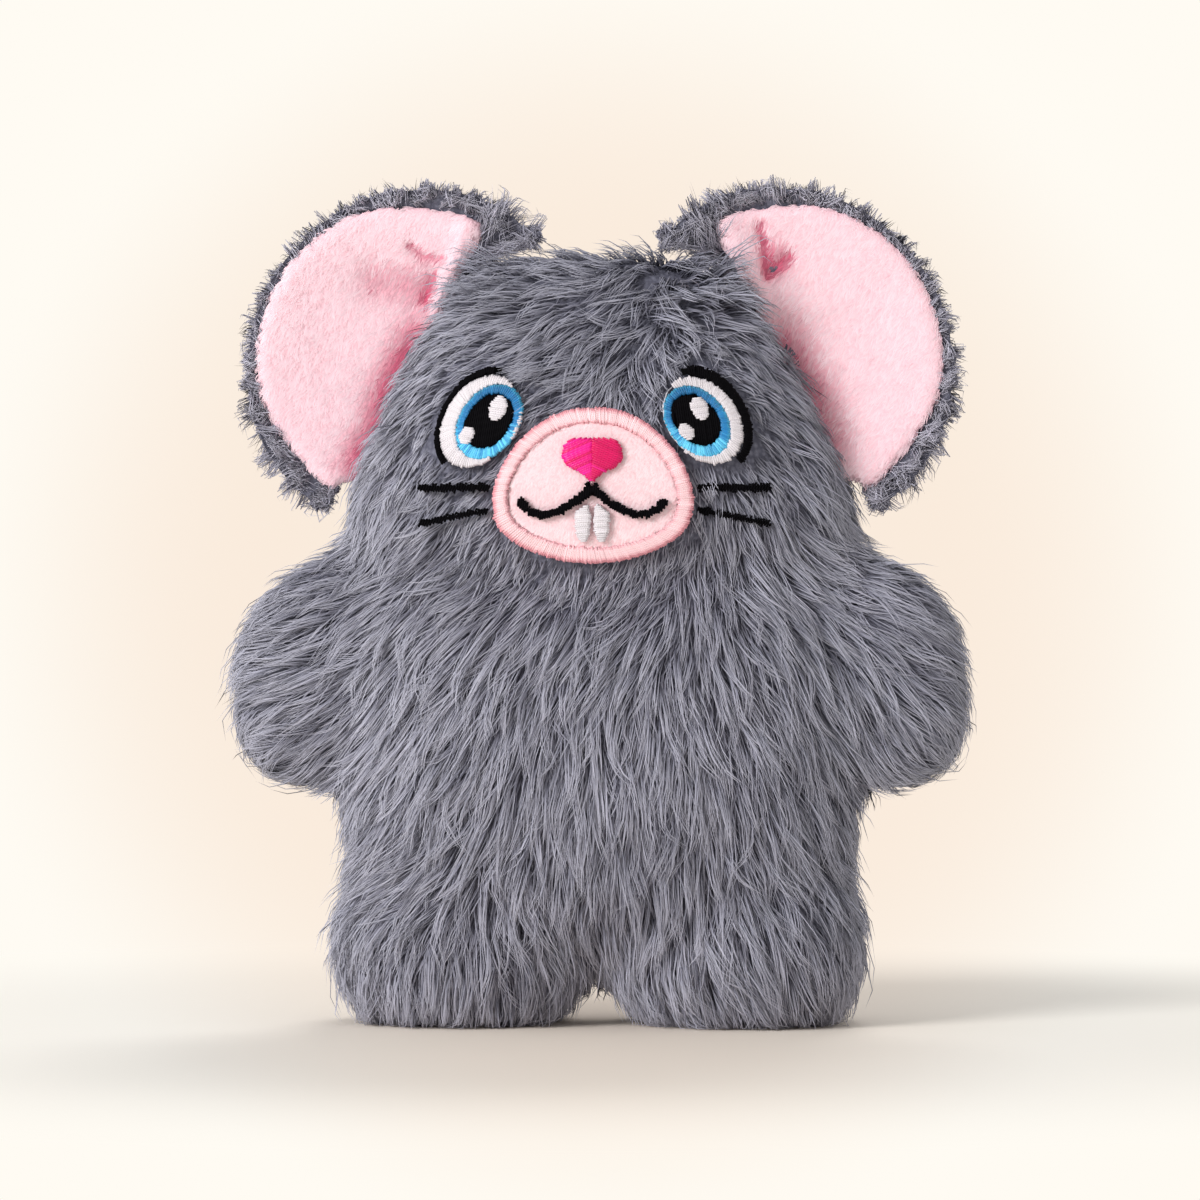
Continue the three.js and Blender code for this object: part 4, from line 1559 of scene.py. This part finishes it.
def heights_on(tree, flat, rings):
    """How far back a skin lies behind each place along some stitches, carried on past its edges. A stitch
    that misses it has none."""
    heights = np.empty(flat.shape[:2])
    for i, row in enumerate(flat.tolist()):
        for j, (x, z) in enumerate(row):
            hit = tree.ray_cast((x, in_front, z), (0, 1, 0))[0]
            heights[i, j] = np.nan if hit is None else hit.y
    for row in heights:
        known = ~np.isnan(row)
        row[~known] = np.interp(rings[~known], rings[known], row[known]) if known.any() else np.nan
    return heights


def embroidered(
    node_name, stitches, material, underlay, slot, seed,
    draw=0.1 * mm, raised=0.0, ragged=0.09 * mm, tone=0.5, ground=None, place=None,
):
    """Satin stitches on the frame's solid, drawn in at their ends, and the underlay that they cover. tone is
    one for all or one for each stitch. ground names the solids that give their height where a field goes
    past its own, and place is how the underlay is drawn out of true."""
    random = np.random.default_rng(seed)
    base = joined(*(ground or [node_name]))
    tree = BVHTree.FromBMesh(base)
    base.free()
    ends = np.array(stitches)
    long = np.linalg.norm(ends[:, 1] - ends[:, 0], axis=1)
    enough = long > 2 * draw + 3 * ragged
    ends, tone = ends[enough], np.broadcast_to(tone, len(ends))[enough]
    way = unit(ends[:, 1] - ends[:, 0])
    reach = random.normal(-draw, ragged, (len(ends), 2))
    ends = ends + way[:, None] * reach[..., None] * np.array([-1, 1])[None, :, None]
    rings = stitch_shape["rings"]
    flat = ends[:, :1] + (ends[:, 1:] - ends[:, :1]) * rings[None, :, None]
    heights = heights_on(tree, flat, rings)
    known = ~np.isnan(heights[:, 0])
    flat, heights, tone = flat[known], heights[known], tone[known]
    dive = thread_dive * np.abs(2 * rings - 1) ** dive_power
    level = heights - thread_lift - raised + dive
    level = level + random.normal(0, thread_unevenness, len(heights))[:, None]
    paths = np.stack([flat[..., 0], level, flat[..., 1]], 2)
    along = unit(np.gradient(paths, axis=1))
    side = unit(np.cross(along, np.array([0, -1, 0])))
    up = np.cross(along, side)
    ring = stitch_shape["ring"]
    half_width = thread_width / 2 * random.uniform(*thread_widths, len(paths))[:, None, None]
    half_height = thread_height / 2
    across = stitch_shape["turns"][:, 0, None] * side[:, ring] * half_width
    above = stitch_shape["turns"][:, 1, None] * up[:, ring] * half_height
    verts = paths[:, ring] + across + above
    shading = unit(across / half_width**2 + above / half_height**2)
    tone = tone + random.normal(0, thread_tones, len(paths))
    threads = strands_object(f"{node_name}_threads", stitch_shape, verts, tone, shading)
    turns = np.arctan2(stitch_shape["turns"][:, 1], stitch_shape["turns"][:, 0]) / (2 * math.pi)
    corners = turns[stitch_shape["faces"]]
    corners = np.where(np.ptp(corners, axis=1, keepdims=True) > 0.5, corners % 1.0, corners)
    along_share = stitch_shape["heights"][stitch_shape["faces"]] * ply_turns
    one = np.stack([corners, along_share], 2).reshape(-1, 2)
    whole = np.tile(one, (len(paths), 1)).astype(np.float32)
    threads.data.uv_layers.new(name="thread", do_init=False).data.foreach_set("uv", whole.ravel())
    threads.data.materials.append(material)

    pad_form = joined(node_name)
    pad_form.normal_update()
    for vert in pad_form.verts:
        outwards = Vector((vert.normal.x, 0, vert.normal.z))
        if outwards.length > wall_slope:
            vert.co -= outwards.normalized() * (underlay_inset + draw)
        if place:
            vert.co.x, vert.co.z = place(np.array([vert.co.xz]))[0]
        vert.co.y += underlay_drop - raised
    pad = object_from(pad_form, f"{node_name}_underlay", underlay, smooth=False)
    for piece in (threads, pad):
        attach(piece, "body")
        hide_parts(node_name)


# Muzzle: satin border
# A dense satin edge in pale pink covers the patch's raw edge. Its threads lie across the edge, a little
# slanted.
# The threads' ends are a deeper pink, painted shade where they go down into the cloth.
pink_thread = thread_material(
    "pink_thread", srgb(250, 210, 215), start=srgb(240, 184, 192), end=srgb(230, 152, 163), spread=0.4
)
pink_underlay = underlay_material("pink", (246, 202, 206), (232, 172, 178))
border_loops = [outline_of("muzzle_border"), patch_edge]
border_middle = border_loops[0].mean(0)
border_reach = np.linalg.norm(border_loops[0] - border_middle, axis=1).mean()
border_slant = 0.15
pad_room = 0.4 * mm


def off_patch(places):
    """The border's underlay, pushed outwards where it would show past the stitches' inner ends."""
    within = np.maximum(pad_room - outside(places, patch_edge), 0)
    return places + unit(places - border_middle) * within[:, None]


border_stitches = spokes(border_loops, border_middle, border_reach, border_slant)
embroidered(
    "muzzle_border", border_stitches, pink_thread, pink_underlay, "pink_thread", seed=71, place=off_patch
)


# Nose
# A rounded field in magenta, in two halves whose stitches fall away from the middle. One half is painted
# lighter and more violet than the other, as a painted sheen.
magenta_thread = thread_material("magenta_thread", srgb(218, 0, 96), light=srgb(232, 22, 146), spread=0.4)
magenta_underlay = underlay_material("magenta", (205, 5, 110), (160, 0, 80))
nose_angle = 24
nose_overlap = 0.3 * mm
# Each half, by its hand, and its tone, which holds the painted sheen
nose_half_sheens = {1: 0.45, -1: 0.72}
nose_loop = outline_of("nose_stitch")
nose_stitches, nose_tones = [], []
for hand, tone in nose_half_sheens.items():
    for start, end in rows([nose_loop], -hand * nose_angle):
        low, high = sorted((start, end), key=lambda place: hand * place[0])
        if hand * high[0] <= nose_overlap:
            continue
        if hand * low[0] < -nose_overlap:
            low = low + (high - low) * (-hand * nose_overlap - low[0]) / (high[0] - low[0])
        nose_stitches.append((low, high))
        nose_tones.append(tone)
embroidered(
    "nose_stitch", nose_stitches, magenta_thread, magenta_underlay, "magenta_thread", seed=72, tone=nose_tones
)


# Mouth
# One black satin line from corner to corner with a short upright under the nose. Its stitches are uneven,
# and the cloth swallows their ends.
black_thread = thread_material("black_thread", srgb(8, 7, 10), spread=0.8, roughness=0.6, specular=0.03)
black_underlay = underlay_material("black", (9, 8, 10), (4, 4, 5))
mouth_angle = 84
mouth_pitch = 0.36 * mm
mouth_draw = 0.46 * mm
black_ragged = 0.13 * mm
mouth_stitches = rows(outlines_of("mouth_stitch"), mouth_angle, mouth_pitch)
embroidered(
    "mouth_stitch", mouth_stitches, black_thread, black_underlay, "black_thread", seed=73,
    draw=mouth_draw, ragged=black_ragged,
)


# Teeth
# Two small front teeth in white thread, side by side under the lip line. They lie a little sunk in the
# nap.
white_thread = thread_material("white_thread", srgb(224, 217, 222), spread=0.35)
white_underlay = underlay_material("white", (240, 236, 238), (205, 198, 204))
tooth_angle = 4
tooth_sink = 0.15 * mm
for number, side in enumerate(("left", "right")):
    name = f"tooth_{side}_stitch"
    stitches = rows(outlines_of(name), tooth_angle)
    embroidered(
        name, stitches, white_thread, white_underlay, "white_thread", seed=74 + number, raised=-tooth_sink
    )


# Eyes
# Each eye is built up in layers: a white field, a blue iris with its threads like spokes, a black pupil
# and two white glints. A black lash line runs round the outer side.
blue_thread = thread_material(
    "blue_thread",
    srgb(30, 132, 196),
    start=srgb(22, 108, 166),
    end=srgb(70, 172, 214),
    light=srgb(96, 192, 226),
    spread=0.8,
)
blue_underlay = underlay_material("blue", (42, 130, 185), (20, 85, 130))
eye_threads = {
    "white": (white_thread, white_underlay),
    "blue": (blue_thread, blue_underlay),
    "black": (black_thread, black_underlay),
}
eye_draw = 0.02 * mm
# How far the lash's stitches are drawn in at the top and at the bottom, and how far out their pitch is kept
lash_draw = {"left": (-0.2 * mm, 0.2 * mm), "right": (0.2 * mm, 0.4 * mm)}
lash_reach = 1.15
lash_lift = 0.12 * mm
glint_lift = 0.25 * mm
eye_row_lean = 8
iris_tone = 0.46
iris_sheen_fall = 0.36


def tapered(stitches, top, bottom):
    """Stitches drawn in at both ends, from one depth at the highest to another at the lowest."""
    heights = np.array([start[1] + end[1] for start, end in stitches])
    out = []
    for (start, end), share in zip(stitches, (heights.max() - heights) / np.ptp(heights)):
        step = unit(end - start) * (top + (bottom - top) * share)
        if np.linalg.norm(end - start) > 2 * np.linalg.norm(step):
            out.append((start + step, end - step))
    return out


def iris_tones(stitches, middle):
    """The iris is painted with a sheen, lighter below and darker above."""
    ways = unit(np.array([end for _, end in stitches]) - middle)
    return iris_tone - iris_sheen_fall * ways[:, 1]


for number, side in enumerate(("left", "right")):
    lean = eye_row_lean if side == "left" else -eye_row_lean
    loops = {part: eye_outline(side, part) for part in eye_parts}
    middle = loops["iris"].mean(0)
    white_middle = loops["white"].mean(0)
    reach = {part: np.linalg.norm(loop - loop.mean(0), axis=1).mean() for part, loop in loops.items()}
    lash = spokes([loops["lash"]], white_middle, reach["white"] * lash_reach)
    iris = spokes([loops["iris"], loops["pupil"]], middle, reach["iris"])
    sewn = {
        "white": ("white", spokes([loops["white"], loops["iris"]], white_middle, reach["white"]), {}),
        "iris": ("blue", iris, {"tone": iris_tones(iris, middle)}),
        "pupil": ("black", rows([loops["pupil"]], 90 + lean), {}),
        "glint": ("white", rows([loops["glint"]], lean), {"raised": glint_lift}),
        "small_glint": ("white", rows([loops["small_glint"]], lean), {"raised": glint_lift}),
        "lash": ("black", tapered(lash, *lash_draw[side]), {"raised": lash_lift}),
    }
    for layer, (part, (colour, stitches, extra)) in enumerate(sewn.items()):
        embroidered(
            f"eye_{side}_{part}",
            stitches,
            *eye_threads[colour],
            f"{colour}_thread",
            seed=80 + 10 * number + layer,
            draw=eye_draw,
            ground=[f"eye_{side}_{part}" for part in eye_parts],
            place=eye_sewing(side, part),
            **extra,
        )


# Whiskers
# Two rows of black stitches on each cheek. They pull down into the plush, whose pile half covers them.
# They are sewn like the mouth, in a single line of slanted stitches.
whisker_depth = {"left": 1.6 * mm, "right": 0.3 * mm}
whisker_draw = {"upper": 0.08 * mm, "lower": 0.2 * mm}
whisker_angle = 68
whisker_pitch = 0.4 * mm
whiskers = [(side, row) for side in ("left", "right") for row in ("upper", "lower")]
for number, (side, row) in enumerate(whiskers):
    name = f"whisker_{side}_{row}_stitch"
    stitches = rows([outline_of(name)], whisker_angle, whisker_pitch)
    embroidered(
        name,
        stitches,
        black_thread,
        black_underlay,
        "black_thread",
        seed=100 + number,
        draw=whisker_draw[row],
        raised=-whisker_depth[side],
        ragged=black_ragged,
    )
